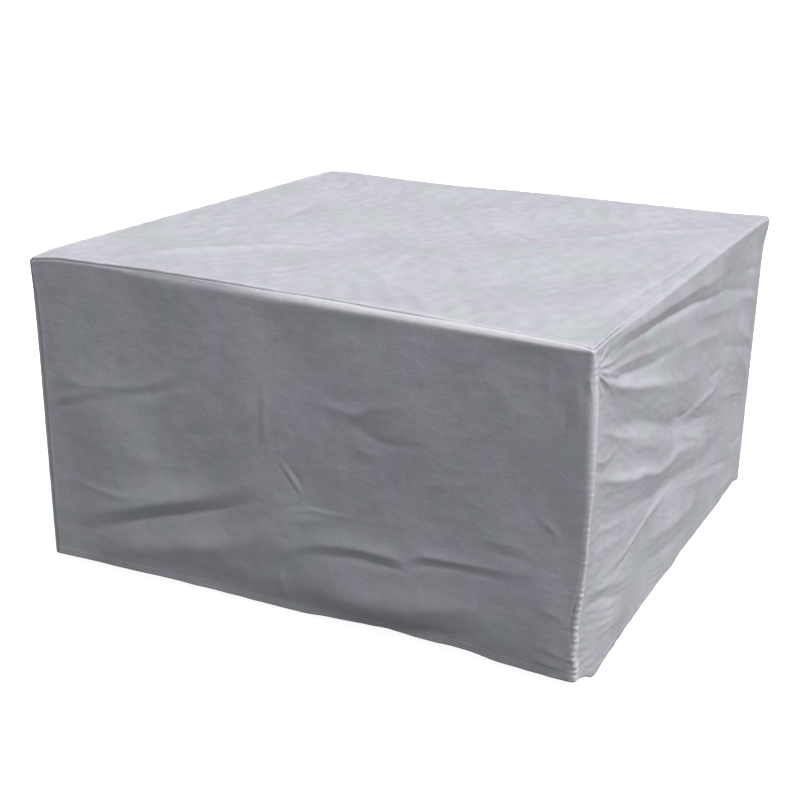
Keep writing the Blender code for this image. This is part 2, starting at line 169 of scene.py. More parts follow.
# A row here is a fold in that order, with its points at the row's end, each the way along the
# panel and the way up. On the top panel these are x and y. All lengths are in millimetres.
FRONT_FOLDS = [
    # the big soft bulge and the crease it is turned under into
    (26, 26, 14.5, 0.6, 0.35, 0.52, 0,94, 100,121, 200,158, 300,192, 400,221, 480,247, 570,285,
     640,314),
    (14, 9, -6.6, 0.2, 0.1, 0.52, 30,64, 100,82, 200,119, 300,154, 400,183, 480,210, 570,249,
     640,276),
    (8, 9, 2.2, 0.4, 0.1, 0.5, 10,200, 70,202, 130,195, 200,193, 270,204, 340,220),
    (20, 18, 3, 0.8, 0.1, 0.5, 220,286, 280,292, 340,316),
    # the long ridge under it, which hangs over the hem
    (26, 24, 9.5, 1, 0.05, 0.5, 20,36, 130,42, 200,60, 300,80, 400,104, 480,122, 570,158, 640,186,
     720,214, 800,236),
    (40, 40, -8.5, 1.2, 0, 0.6, 80,-14, 250,0, 400,22, 520,44, 660,78),
    # the sag under the left corner
    (12, 14, 2.7, 0.5, 0.15, 0.6, -100,452, 0,452, 200,456, 280,469, 340,490, 400,526, 450,560),
    (10, 13, -2.3, 0.6, 0.1, 0.5, 120,436, 220,440, 290,451, 360,474, 420,502, 500,526),
    (8, 8, 1.8, 0.5, 0.2, 0.5, -60,368, 0,382, 60,404, 140,432, 220,450),
    (6, 6, -1.5, 0.5, 0, 0.5, -60,336, 0,350, 60,382, 140,412, 240,436),
    (5, 5, 1.4, 0.5, 0, 0.5, 379,650, 380,600, 378,540),
    (10, 10, 1.4, 0.6, 0, 0.5, 318,640, 334,636, 350,630),
    (14, 14, -1.6, 0.7, 0, 0.5, 380,398, 440,380, 500,402),
    (16, 16, -1.3, 0.7, 0, 0.5, 460,500, 530,470, 560,440),
    # the upright crease, and the tick and its tail at its foot
    (7, 6, 2.4, 0.4, -0.1, 0.45, 612,560, 617,497, 615,457, 610,400, 604,350),
    (4, 4, -1.1, 0.5, 0, 0.5, 602,545, 604,497, 602,457, 598,410, 590,350),
    (22, 20, 2, 0.8, 0, 0.5, 560,520, 575,460, 572,400),
    (3.2, 3.6, 2.6, 0.3, 0, 0.6, 640,376, 655,355, 674,332, 692,308, 710,285),
    (3.2, 3.6, -2.2, 0.4, 0, 0.6, 630,372, 646,350, 664,326, 684,299, 700,279),
    (4.4, 4.4, -2.2, 0.5, 0, 0.55, 655,372, 675,350, 695,325, 711,301),
    (5, 5, -1.5, 0.4, 0.3, 0.35, 690,281, 730,270, 780,270, 840,277),
    (5.5, 5.5, 2, 0.5, 0, 0.45, 640,240, 700,256, 740,262, 790,262, 850,268),
    (16, 14, 3, 0.6, 0.1, 0.5, 600,205, 660,226, 730,240, 820,256),
    # the soft crease above the middle
    (11, 13, 3, 0.5, 0.05, 0.45, 680,518, 770,512, 810,508, 836,506, 880,526, 930,537, 970,558,
     1010,586),
    (11, 13, -2.7, 0.5, 0, 0.4, 800,492, 847,474, 873,464, 903,455, 967,457, 1040,462),
    (10, 11, 1.4, 0.5, 0.2, 0.5, 834,492, 832,450, 858,418, 892,404),
    (16, 18, -1.4, 0.7, 0, 0.5, 780,430, 840,400, 920,392),
    # the two low folds on the right, one running into the other
    (24, 10, 8.2, 0.5, 0.4, 0.8, 560,142, 640,154, 700,174, 753,186, 820,194, 900,195, 966,192),
    (14, 6, -5.2, 0.3, 0.1, 0.8, 620,114, 700,146, 753,160, 820,167, 900,168, 966,171),
    (8, 13, 5.4, 0.4, 0.45, 0.25, 945,192, 990,211, 1050,218, 1120,221, 1200,225, 1290,240),
    (6, 7, -3.6, 0.3, 0.1, 0.25, 950,178, 1000,192, 1060,198, 1120,200, 1240,206),
    (10, 9, 2.2, 0.5, 0.3, 0.5, 1110,286, 1180,285, 1250,276),
    (9, 9, -1.8, 0.6, 0, 0.5, 1110,262, 1180,262, 1250,254),
    (34, 30, 4, 0.8, 0.2, 0.5, 560,128, 640,140, 740,160),
    # over the hem on the right
    (32, 22, 9.2, 0.9, 0.15, 0.52, 640,62, 750,64, 850,66, 950,78, 1010,94, 1090,108, 1200,138),
    (26, 18, -9, 0.7, 0, 0.45, 640,-16, 780,-18, 860,-10, 950,10, 1010,26, 1090,46, 1180,78),
    (7, 7, 2.2, 0.5, 0, 0.5, 642,120, 642,75, 639,10),
    # the crevice on the left of the gathered bead, and a small loop under the pinched spot
    (2.6, 2.6, -3.6, 0.4, 0, 0.5, 1344,85, 1339,115, 1337.5,150, 1341,190, 1346,225),
    (4, 4, 2.6, 0.4, 0, 0.4, 1358,694, 1346,676, 1345,655, 1353,625),
    # faint upright pleats beside the corner seam
    (5, 6, 1.8, 0.5, 0, 0.5, 1270,710, 1264,660, 1258,590),
    (6, 7, 2.6, 0.5, 0, 0.5, 1314,690, 1322,620, 1316,540),
    (5, 6, -1.6, 0.5, 0, 0.5, 1290,660, 1296,590, 1290,500),
    (7, 8, 2.6, 0.5, 0, 0.5, 1240,366, 1268,348, 1288,330, 1284,290),
    (20, 20, 1.6, 0.8, 0, 0.5, 1140,660, 1180,600, 1170,520),
    (8, 6, 2.2, 0.5, 0.2, 0.6, 1230,74, 1290,66, 1340,50),
    (8, 6, 2, 0.5, 0.2, 0.6, 1230,38, 1290,32, 1340,26),
    (10, 7, 2, 0.6, 0.2, 0.6, 1240,164, 1300,150, 1340,128),
]
RIGHT_FOLDS = [
    # the lip under the top edge, and the valley under the lip
    (12, 17, 6.6, 0.6, 0.35, 0.36, 20,712, 150,716, 300,709, 500,698, 660,691, 870,676, 1100,668,
     1300,668),
    (7, 9, -8.6, 0.4, 0.1, 0.46, 20,684, 150,687, 300,679, 420,671, 550,661, 660,655, 750,646,
     870,630, 1000,618, 1160,606),
    # ridges that spread from the pinched corner
    (5, 10, 3.6, 0.4, -0.1, 0.22, 10,692, 60,680, 130,659, 220,646, 380,624, 500,606, 720,580),
    (5, 13, -6.6, 0.5, 0, 0.24, 30,672, 100,649, 147,632, 220,618, 290,606, 400,592, 500,584,
     600,577, 720,560),
    (12, 32, 12.8, 0.4, -0.42, 0.15, -10,694, 60,661, 100,638, 200,600, 300,568, 400,545, 500,518,
     600,492, 700,474, 820,468, 980,446),
    (12, 32, -11, 0.8, 0, 0.5, 10,576, 100,543, 200,510, 300,487, 400,460, 500,420, 600,384,
     700,358, 850,322, 1000,288, 1140,286),
    (8, 11, 4.8, 0.4, -0.1, 0.4, 10,562, 100,530, 160,504, 220,481, 280,464, 330,447, 420,416),
    (6, 8, 2, 0.5, 0, 0.45, 140,500, 240,470, 360,432, 480,388),
    (10, 12, 3.6, 0.5, -0.1, 0.5, 180,470, 280,442, 400,404, 520,360),
    (6, 7, 3.4, 0.4, 0.2, 0.25, 0,503, 40,488, 80,475, 130,469, 260,461),
    (5, 6, -2.8, 0.4, 0, 0.25, 0,484, 40,468, 80,455, 130,448, 260,442),
    # the second swag
    (13, 26, 10, 0.4, -0.42, 0.2, 0,464, 67,441, 147,410, 200,391, 280,366, 370,347, 430,327,
     500,307, 580,296, 700,292, 780,276, 900,246, 1000,242, 1100,248, 1260,254),
    (18, 18, -7.4, 0.9, 0, 0.45, 0,372, 147,326, 270,296, 400,270, 500,246, 600,236, 700,226,
     900,202, 1070,204, 1240,210),
    # the short streak in the middle
    (10, 11, 4.8, 0.4, -0.1, 0.4, 740,362, 800,372, 867,374, 940,376, 1040,386),
    (10, 10, -4.6, 0.5, 0, 0.4, 600,404, 670,386, 720,372, 770,386, 840,404),
    (10, 10, -4, 0.5, 0, 0.5, 880,424, 955,416, 1030,420),
    (9, 12, -3.4, 0.5, 0, 0.4, 720,352, 820,334, 920,312, 1040,290),
    (8, 10, 3.6, 0.5, 0, 0.45, 660,345, 740,318, 820,290, 920,262),
    (12, 16, 3.6, 0.6, 0, 0.5, 580,566, 760,548, 940,520, 1100,492),
    (10, 14, 3.4, 0.6, 0.1, 0.5, 660,616, 820,596, 1020,566, 1220,530),
    (8, 10, -2.6, 0.6, 0, 0.5, 840,640, 980,618, 1140,586, 1320,548),
    (10, 10, -2.6, 0.6, 0, 0.55, 880,500, 1000,474, 1140,436, 1320,388),
    (9, 9, 2.8, 0.5, 0, 0.55, 960,352, 1080,322, 1200,292, 1320,258),
    (10, 12, 3, 0.5, 0, 0.45, 700,196, 860,160, 1020,122, 1180,90),
    (8, 9, -2.4, 0.5, 0, 0.5, 900,172, 1040,140, 1160,114, 1300,84),
    # the crisp low ridge, and what lies under it
    (6, 8, 4.4, 0.3, -0.1, 0.7, 20,214, 80,209, 170,203, 270,201, 370,207, 450,213, 550,216,
     660,212),
    (5, 7, -2, 0.4, 0, 0.4, 100,192, 270,184, 370,188, 470,194),
    (8, 12, 3, 0.4, 0.2, 0.4, 10,192, 80,182, 140,175, 210,154, 270,134, 360,112),
    (7, 13, -4.4, 0.4, 0, 0.4, 10,170, 80,157, 140,146, 200,124, 300,94),
    (16, 16, 4.2, 0.6, 0.2, 0.4, 340,152, 450,140, 570,133, 700,118, 900,98, 1050,90),
    (14, 14, -4, 0.6, 0, 0.45, 360,94, 500,86, 650,72, 800,62, 950,50),
    (14, 18, 3.4, 0.8, 0, 0.45, 40,90, 140,80, 240,62, 360,40),
    (8, 10, 2.4, 0.5, 0.1, 0.4, 20,272, 120,262, 240,244, 380,240),
    (8, 12, 2.4, 0.5, 0, 0.4, 20,334, 120,306, 240,282, 360,262),
    (14, 12, 4.6, 0.6, 0, 0.6, 1040,52, 1150,50, 1260,38, 1320,30),
    # where it pulls on the far corner seam
    (18, 10, 4.4, 0.6, 0, 0.6, 1080,506, 1200,460, 1345,380),
    (15, 9, 4, 0.6, 0, 0.6, 1140,428, 1260,352, 1345,264),
    (15, 9, 3.6, 0.6, 0, 0.6, 1080,572, 1220,550, 1345,504),
    (12, 8, -3, 0.6, 0, 0.6, 1100,630, 1240,622, 1345,600),
    (14, 9, -3, 0.6, 0, 0.6, 1180,150, 1280,138, 1345,150),
]
BACK_FOLDS = [
    (9, 36, 10, 0.7, 0.1, 0.38, 20,682, 200,610, 450,535, 750,500, 1120,512),
    (10, 30, -7, 0.8, 0, 0.42, 20,640, 200,565, 450,486, 750,440, 1020,436),
    (34, 10, 9, 0.7, 0.2, 0.6, 240,318, 500,296, 800,330, 1100,420, 1330,530),
    (24, 9, -6, 0.7, 0, 0.6, 360,268, 600,258, 860,296, 1100,372, 1320,480),
    (9, 20, 5.6, 0.6, 0.25, 0.36, 10,262, 200,196, 420,160, 660,150),
    (9, 16, -3.6, 0.6, 0, 0.4, 20,222, 200,160, 400,126),
    (28, 46, -7, 1, 0, 0.7, 800,420, 850,250, 870,0),
    (18, 26, 4.5, 0.8, 0, 0.75, 720,260, 710,120, 700,0),
    (10, 12, 3.4, 0.7, 0.3, 0.5, 50,714, 400,712, 800,704, 1250,706),
    (10, 12, -4.6, 0.6, -0.1, 0.45, 100,690, 400,686, 800,674, 1200,680),
    (14, 9, 3.6, 0.7, 0.2, 0.6, 950,120, 1120,104, 1330,66),
    (18, 7, 4, 0.6, 0.2, 0.7, 980,620, 1150,640, 1340,684),
    (14, 6, -2.6, 0.6, 0, 0.7, 1000,590, 1160,606, 1340,652),
]
LEFT_FOLDS = [
    (9, 34, 9, 0.7, 0.1, 0.38, 20,676, 150,610, 360,520, 600,462, 840,440),
    (9, 28, -6, 0.8, 0, 0.42, 20,630, 150,560, 360,464, 600,406, 780,392),
    (20, 10, 9, 0.7, 0.2, 0.58, 300,400, 600,318, 860,336, 1100,428, 1340,560),
    (16, 9, -5.6, 0.7, 0, 0.58, 360,350, 620,272, 880,288, 1120,380, 1330,500),
    (22, 46, 7.5, 0.9, 0, 0.7, 420,440, 460,240, 500,0),
    (18, 30, -4.6, 0.9, 0, 0.75, 620,240, 650,120, 660,0),
    (20, 9, 5, 0.6, 0.25, 0.6, 660,168, 900,150, 1120,176, 1330,236),
    (16, 8, -3.4, 0.6, 0, 0.6, 720,134, 940,120, 1140,144, 1330,200),
    (10, 12, 3.4, 0.7, 0.3, 0.5, 60,712, 500,708, 900,706, 1280,712),
    (10, 12, -4.4, 0.6, -0.1, 0.5, 100,688, 500,682, 900,680, 1220,688),
    (20, 7, 4, 0.7, 0.2, 0.7, 900,590, 1100,624, 1340,690),
]
TOP_FOLDS = [
    # soft ridges on the diagonals, from where the corners pull
    (13, 18, 9.2, 0.5, 0.25, 0.48, -665,-680, -612,-640, -540,-582, -490,-540, -430,-486,
     -290,-316, -190,-216, -66,-110, 20,-40),
    (24, 24, -3.4, 0.7, 0, 0.5, -560,-610, -430,-520, -370,-470, -230,-340),
    (14, 14, 4.6, 0.5, 0.2, 0.6, -600,-330, -520,-240, -440,-140, -380,-60),
    (18, 16, 5, 0.6, 0.2, 0.5, -290,-130, -200,-70, -120,-10),
    (16, 16, 10, 0.5, 0.25, 0.66, 0,10, 120,85, 200,130, 310,175, 380,232, 450,303, 520,384,
     590,462, 660,580),
    (40, 30, -6, 0.9, 0, 0.6, 60,240, 200,330, 360,430, 500,530),
    (34, 34, 6.4, 0.8, 0, 0.6, 200,520, 320,540, 440,570),
    (14, 14, 5, 0.6, 0.2, 0.5, -150,260, -110,300, -10,360, 70,450),
    (13, 13, -5.6, 0.6, 0, 0.5, -540,600, -515,500, -500,370),
    (13, 13, -4.2, 0.6, 0, 0.5, -350,560, -330,470, -300,380),
    (12, 12, -5.6, 0.6, 0, 0.6, -470,260, -440,130, -420,-20),
    (15, 14, 4.4, 0.6, 0, 0.5, 70,620, 20,500, -30,400),
    (24, 24, 4, 0.8, 0, 0.5, -80,-540, 60,-490, 200,-470),
    (16, 16, 4, 0.8, 0, 0.5, 20,-370, 80,-410, 140,-470),
    (16, 16, 3.6, 0.8, 0, 0.5, -60,-180, 20,-220, 60,-270),
    # the seam allowance shows through along the right edge
    (4.5, 4.5, -3.4, 0.5, 0, 0.5, 634,-650, 632,-300, 636,0, 642,250, 650,450),
]
FOLDS = {
    "front_panel": FRONT_FOLDS,
    "right_panel": RIGHT_FOLDS,
    "back_panel": BACK_FOLDS,
    "left_panel": LEFT_FOLDS,
    "top_panel": TOP_FOLDS,
}

# Fine pleats spread from the pinched spot on the right panel's seam, turned by degrees from
# straight along, as long and as high as given.
PINCH = (0.006, 0.690)
Pleat = namedtuple("Pleat", "turn length height width")
PLEATS = [
    Pleat(32, 0.070, 0.0026, 0.0042),
    Pleat(16, 0.120, 0.0028, 0.0042),
    Pleat(4, 0.170, -0.0028, 0.0042),
    Pleat(-6, 0.210, 0.0034, 0.0046),
    Pleat(-12, 0.180, -0.0032, 0.0042),
    Pleat(-19, 0.240, 0.0036, 0.0048),
    Pleat(-27, 0.180, -0.0030, 0.0044),
    Pleat(-35, 0.190, 0.0034, 0.0048),
    Pleat(-45, 0.140, -0.0018, 0.0046),
    Pleat(-56, 0.110, 0.0028, 0.0048),
    Pleat(-76, 0.090, 0.0014, 0.0046),
]

# ---------------------------------------------------------------- seams
# How the cloth lies at a seam, by the way along it: edge is the height of the very edge, which
# both panels share, and wide the width of the groove or bead it makes; before and after are the
# soft welts beside it, on the panel that comes before the seam and on the one after it; pucker
# is the size of the gathers; the last column is how dark the seam is painted, as painted shade in
# and beside its groove. Upright seams are measured up from the hem. All but the last column are
# in millimetres.
Seam = namedtuple("Seam", "at edge wide before after pucker ink")
PLAIN_UPRIGHT = [
    (0, -1.8, 2.6, 1.2, 1.4, 1.2, 0.4),
    (700, -1.8, 2.6, 1, 1.4, 1.2, 0.4),
    (735, -2, 3, 0.8, 1, 0, 0.5),
]
PLAIN_LEVEL = [
    (0, -2, 3, 1, 1, 0, 0.5),
    (60, -1.4, 2.6, 1.2, 1.4, 0.8, 0.4),
    (1290, -1.4, 2.6, 1.2, 1.4, 0.8, 0.4),
    (1350, -2, 3, 1, 1, 0, 0.5),
]
SEAMS = {
    "front_right": [
        (0, 2.6, 6, 0, 0, 1.8, 0),
        (50, 4.2, 7.6, 0, 1, 3, 0),
        (180, 4.2, 7.2, 0, 0.6, 2.6, 0),
        (260, 1.8, 5, 0, 0.2, 1.2, 0),
        (600, 1.5, 4.4, 0, 0.4, 1, 0),
        (660, 1, 4, 0.4, 0.8, 2, 0),
        (700, 0.6, 3.6, 0.6, 1, 1.8, 0.04),
        (735, -0.4, 3, 0.4, 0.8, 0, 0.1),
    ],
    # the front's top seam is painted darkest: the shade of its groove under the rolled edge
    "front_top": [
        (0, -2.2, 4.4, 0, 0.2, 0, 1),
        (60, -3.6, 5.2, 0, 0.2, 0.4, 1),
        (200, -3.6, 5, 0, 0.2, 0.4, 1),
        (320, -3.2, 4.4, 0, 0.2, 0.4, 1),
        (960, -2.6, 4, 0.4, 0.2, 0.4, 1),
        (1000, -2, 3.4, 0.4, 0.2, 0.4, 0.7),
        (1050, -0.4, 2.6, 0.2, 0, 0.4, 0.1),
        (1300, -0.2, 2.6, 0.2, 0, 0.4, 0.04),
        (1350, -0.6, 3, 0.2, 0, 0, 0.06),
    ],
    "right_top": [
        (0, -2, 3, 0.4, 0.6, 0, 0.4),
        (30, -1.8, 3.2, 0.6, 0.8, 2, 0.85),
        (160, -1.6, 3, 0.6, 0.6, 1.8, 0.75),
        (220, -0.4, 2.6, 0.2, 0.2, 0.6, 0.05),
        (1290, -0.4, 2.6, 0.2, 0.2, 0.5, 0.05),
        (1350, -2, 3, 0.4, 0.6, 0, 0.4),
    ],
    "right_back": [
        (0, -1.2, 2.6, 0.6, 0.6, 1.4, 0.2),
        (700, -1.2, 2.6, 0.6, 0.6, 1.4, 0.2),
        (735, -2, 3, 0.4, 1, 0, 0.4),
    ],
    "left_front": [
        (0, -0.6, 2.6, 1, 1, 0.8, 0.4),
        (700, -0.6, 2.6, 1, 1, 0.8, 0.4),
        (735, -2, 3, 1, 0.4, 0, 0.5),
    ],
}
WELT_AT = 0.0062       # middle of a seam's welt, from the seam
WELT_WIDTH = 0.0036
PUCKER_PITCH = 0.0150  # from one gather to the next
PUCKER_REACH = 0.0085   # how far the gathers run out from a seam
SEAM_CALM = 0.012      # folds die out over this distance from a seam
BILLOW_CALM = 0.080    # and the slow billows over this one
SEAM_GAP = 0.0001      # between two panels at a seam
CORNER_CALM = 0.008    # where two seams meet, each lies half as high within this distance
FULL_PUCKER = 0.0020   # gathers of this size break the seam's dark line into dashes


def smooth_line(at, spots, values):
    """A curve through given values: cubic Hermite pieces, with slopes from the neighbours."""
    spots, values = np.asarray(spots, float), np.asarray(values, float)
    slopes = np.gradient(values, spots)
    piece = np.clip(np.searchsorted(spots, at, side="right") - 1, 0, len(spots) - 2)
    step = spots[piece + 1] - spots[piece]
    t = np.clip((at - spots[piece]) / step, 0.0, 1.0)
    rise = t * t * (3 - 2 * t)
    out = values[piece] + (values[piece + 1] - values[piece]) * rise
    out += step * slopes[piece] * t * (1 - t) ** 2
    return out - step * slopes[piece + 1] * t * t * (1 - t)


def ease(value):
    """0 below zero, 1 above one, and three squares less two cubes in between."""
    value = np.clip(value, 0.0, 1.0)
    return value * value * (3.0 - 2.0 * value)


def bell(value):
    """1 at zero, falling off both ways as e to the minus square."""
    return np.exp(-(value**2))


def ripple(at, pitch, seed):
    """Uneven waves between -1 and 1: three cosines near one pitch, at seeded phases."""
    phases = np.random.default_rng(seed).uniform(0, 2 * np.pi, 4)
    waves = 0.50 * np.cos(2 * np.pi * at / pitch + phases[0])
    waves += 0.30 * np.cos(2 * np.pi * at / (0.71 * pitch) + phases[1])
    waves += 0.20 * np.cos(2 * np.pi * at / (1.63 * pitch) + phases[2])
    return waves * (0.75 + 0.25 * np.cos(2 * np.pi * at / (5.3 * pitch) + phases[3]))


def front_over_right(up):
    """Reach of the front round the near corner, with the zigzag of its gathered seam."""
    gathered = 1 - ease((up - GATHERED_TO) / GATHERED_FADE)
    return smooth_line(up, *FRONT_OVER_RIGHT) + ZIGZAG * gathered * ripple(up, ZIGZAG_PITCH, 7)


def front_over_top(along):
    """Reach of the front over the top's edge."""
    return np.interp(along, *FRONT_OVER_TOP)


def left_over_front(up):
    """Reach of the left panel round the corner onto the front."""
    return np.interp(up, *LEFT_OVER_FRONT)


def level(at):
    """No reach: the seam lies on the box's edge."""
    return np.zeros_like(at)


# ---------------------------------------------------------------- the hanging box
def on_side(side, along, up):
    """Point of the square box at a distance along a side and a height over the hem.

    Past the side's ends it goes on round the corner, and above the top edge over the top.
    """
    before = np.maximum(-along, 0.0)
    after = np.maximum(along - WIDTH, 0.0)
    inward = before + after + np.maximum(up - DROP, 0.0)
    run = np.clip(along, 0.0, WIDTH)
    x = side.x_start * HALF + side.x_along * run - side.y_along * inward
    y = side.y_start * HALF + side.y_along * run + side.x_along * inward
    z = np.minimum(up, DROP) - DROP
    return np.stack([x, y, z], axis=-1)


def on_top(x, y):
    """Point of the square box at (x, y) on the top, going on down the sides past its edges."""
    down = np.maximum(np.abs(x) - HALF, 0.0) + np.maximum(np.abs(y) - HALF, 0.0)
    return np.stack([np.clip(x, -HALF, HALF), np.clip(y, -HALF, HALF), -down], axis=-1)


def edge_radius(x, y, z):
    """Softness of the box's edge near a point: greater at the near corner and the front's lip.

    Each greater radius is eased in from the faces beside its edge, where it changes nothing.
    """
    ups, _, corner_radii = NEAR_CORNER
    spots, _, lip_radii = FRONT_TOP_EDGE
    corner = smooth_line(z + DROP, ups, corner_radii)
    front = ease((-SOFT_FROM - y) / SOFT_OVER)
    corner = (corner - EDGE_RADIUS) * ease((x - SOFT_FROM) / SOFT_OVER) * front
    lip = smooth_line(x + HALF, spots, lip_radii)
    lip = (lip - EDGE_RADIUS) * ease((z + LIP_FROM) / LIP_OVER) * front
    return EDGE_RADIUS + np.maximum(corner, lip)


def rounded(box):
    """The box's point clamped to a box smaller by the edge radius, and set out by one radius."""
    x, y, z = box[..., 0], box[..., 1], box[..., 2]
    radius = edge_radius(x, y, z)
    inner = HALF - radius
    core = [np.clip(x, -inner, inner), np.clip(y, -inner, inner), np.minimum(z, -radius)]
    core = np.stack(core, axis=-1)
    away = box - core
    return core + radius[..., None] * away / np.linalg.norm(away, axis=-1, keepdims=True)


def hung(point):
    """The point moved by its share of the four corners' offsets, and by the bell-shaped swells.

    The near corner's edge and the front's lip are moved by their tables, as bells across them.
    """
    x, y, z = point[..., 0], point[..., 1], point[..., 2]
    move = np.zeros_like(point)
    move[..., 2] = TOP_SAG + CAD_CLOTH
    low = -z / DROP
    for c in CORNERS:
        share = (1 + c.x_side * x / HALF) * (1 + c.y_side * y / HALF) / 4
        move[..., 0] += share * (c.dx * (1 - low) + c.dx_hem * low)
        move[..., 1] += share * (c.dy * (1 - low) + c.dy_hem * low)
        move[..., 2] += share * (c.dz_top * (1 - low) + c.dz_hem * low)
    for s in SWELLS:
        off = ((x - s.x) / s.x_radius) ** 2 + ((y - s.y) / s.y_radius) ** 2
        off += ((z - s.z) / s.z_radius) ** 2
        move += np.exp(-off)[..., None] * np.array([s.dx, s.dy, s.dz])
    ups, outs, _ = NEAR_CORNER
    out = smooth_line(z + DROP, ups, outs)
    near = bell((x - HALF) / NEAR_CORNER_ACROSS) * bell((y + HALF) / NEAR_CORNER_ACROSS)
    move[..., 0] += out * near
    spots, lifts, _ = FRONT_TOP_EDGE
    lift = smooth_line(x + HALF, spots, lifts)
    move[..., 2] += lift * bell((y + HALF) / LIP_ACROSS) * bell(z / LIP_ACROSS)
    return point + move


def normal_of(surface, along, up):
    """Outward unit normal: the cross product of a surface's slopes along and up."""
    one = surface(along + PROBE, up) - surface(along - PROBE, up)
    two = surface(along, up + PROBE) - surface(along, up - PROBE)
    across = np.cross(one, two)
    return across / np.linalg.norm(across, axis=-1, keepdims=True)


# ---------------------------------------------------------------- what lies on the cloth
FALL = 1.2             # how fast a fold's flanks fall away, per width
WANDER = 0.0014        # how far a fold's line strays from its even curve
WANDER_PITCH = 0.14


def fold_in_metres(row):
    """A fold from its row in the table."""
    lengths = np.array(row[:3]) / 1000
    return Fold(*lengths, *row[3:6], np.reshape(row[6:], (-1, 2)) / 1000)


def fold_height(fold, along, up, seed):
    """Height of one fold.

    A point's run along the chord from the fold's first point to its last gives the fold's
    line, a smooth curve through its points, and the share t of the way. The distance off the
    line in widths gives the crest, a soft-topped exponential, and t gives its rise from the
    start to the peak and its fall to the end.
    """
    points = fold.points
    chord = points[-1] - points[0]
    length = np.hypot(*chord)
    chord = chord / length

    def turned(a, u):
        """The way along the chord, and the way off it."""
        a, u = a - points[0, 0], u - points[0, 1]
        return a * chord[0] + u * chord[1], u * chord[0] - a * chord[1]

    spots, offsets = turned(points[:, 0], points[:, 1])
    run, off = turned(along, up)
    t = run / length
    inside = np.clip(t, 0.0, 1.0)
    line = smooth_line(inside * length, spots, offsets)
    line += WANDER * ripple(run, WANDER_PITCH, seed) * ease(4 * inside * (1 - inside))
    width = fold.start + (fold.end - fold.start) * inside
    width = width * (1 + fold.lean * np.tanh((off - line) / width) * np.sign(chord[0] + 1e-9))
    distance = (off - line) / width
    crest = np.exp(FALL * (fold.soft - np.sqrt(distance**2 + fold.soft**2)))
    return fold.height * crest * ease(t / fold.peak) * ease((1 - t) / (1 - fold.peak))


def pleat_height(pleat, along, up):
    """Height of one fine pleat: a bell across its ray, which widens from 0.6 to 1.4 widths.

    It rises over the first fifth of its length and dies out over the last three quarters.
    """
    turn = np.radians(pleat.turn)
    a, u = along - PINCH[0], up - PINCH[1]
    run, off = a * np.cos(turn) + u * np.sin(turn), u * np.cos(turn) - a * np.sin(turn)
    width = pleat.width * (0.6 + 0.8 * np.clip(run / pleat.length, 0, 1))
    envelope = ease(run / (0.22 * pleat.length)) * ease((1 - run / pleat.length) / 0.75)
    return pleat.height * bell(off / width) * envelope


def billows(along, up, seed):
    """Slow unevenness of the whole cloth: eight seeded cosine waves, 0.18 m to 0.5 m long."""
    rng = np.random.default_rng(seed)
    total = np.zeros_like(along)
    for _ in range(8):
        pitch, turn, phase = rng.uniform(0.18, 0.5), rng.uniform(0, np.pi), rng.uniform(0, 6.28)
        run = along * np.cos(turn) + up * np.sin(turn)
        total += pitch * np.cos(2 * np.pi * run / pitch + phase)
    return total


def crumples(along, up, seed):
    """Fine crumples: seeded waves of 22 mm to 75 mm, bent by slower ones.

    Each wave is one less the softened absolute value of a sine, so its crests are sharper
    than its troughs, and each shows only in its own patches.
    """
    rng = np.random.default_rng(seed)
    total = np.zeros_like(along)
    for _ in range(14):
        pitch, turn = rng.uniform(0.022, 0.075), rng.uniform(0, np.pi)
        phase, bend = rng.uniform(0, 6.28, 2)
        run = along * np.cos(turn) + up * np.sin(turn)
        across = up * np.cos(turn) - along * np.sin(turn)
        warp = 1.6 * np.sin(across / (1.7 * pitch) + bend) + 1.1 * np.sin(run / (3.1 * pitch))
        patch = ease(0.4 + 0.9 * np.sin(across / (0.9 * pitch) + run / (2.3 * pitch) + bend))
        wave = 1 - np.sqrt(0.06 + np.sin(np.pi * run / pitch + phase + warp) ** 2)
        total += pitch * patch * (wave - 0.35)
    return total


def strains(along, up, flow, seed):
    """Long fine strain lines of the pulled cloth: seeded ridged waves across a flow.

    flow rises across the lines and is level along them. Each wave is 10 mm to 34 mm from crest
    to crest, bends slowly, and shows only in patches a few times as long as they are wide.
    """
    rng = np.random.default_rng(seed)
    total = np.zeros_like(along)
    for _ in range(16):
        pitch = rng.uniform(0.010, 0.034)
        phase, bend, start = rng.uniform(0, 6.28, 3)
        run = 6.28 * along / rng.uniform(0.22, 0.50)
        warp = 1.5 * np.sin(run + bend) + 1.0 * np.sin(flow / (2.2 * pitch) + bend)
        patch = ease(0.30 + 0.9 * np.sin(1.9 * run + flow / (1.4 * pitch) + start))
        wave = 1 - np.sqrt(0.08 + np.sin(np.pi * flow / pitch + phase + warp) ** 2)
        total += pitch * patch * (wave - 0.35)
    return total


def right_flow(along, up):
    """Level lines of the right panel's swags: they sag between its level top edge and hem."""
    sag = 0.33 * along - 0.05 * along**2
    return up + sag * np.sin(np.pi * np.clip(up / DROP, 0, 1)) ** 0.8


def front_flow(along, up):
    """Level lines of the front's folds, which rise to the right over its lower left part."""
    rise = 0.26 * along / (1 + (along / 0.70) ** 4)
    return up - rise * bell((up - 0.20) / 0.30)


# How uneven a panel is: its billows', crumples' and strain lines' height over their pitch, and how
# much stronger the strain lines are at the seam where it starts.
Unevenness = namedtuple("Unevenness", "billow crumple strain pull")
UNEVEN = {
    "front_panel": Unevenness(0.0040, 0.0056, 0.0028, 0.0),
    "right_panel": Unevenness(0.0040, 0.0034, 0.0118, 0.6),
    "back_panel": Unevenness(0.0040, 0.0065, 0.0060, 0.4),
    "left_panel": Unevenness(0.0020, 0.0055, 0.0050, 0.4),
    "top_panel": Unevenness(0.0050, 0.0210, 0.0, 0.0),
}


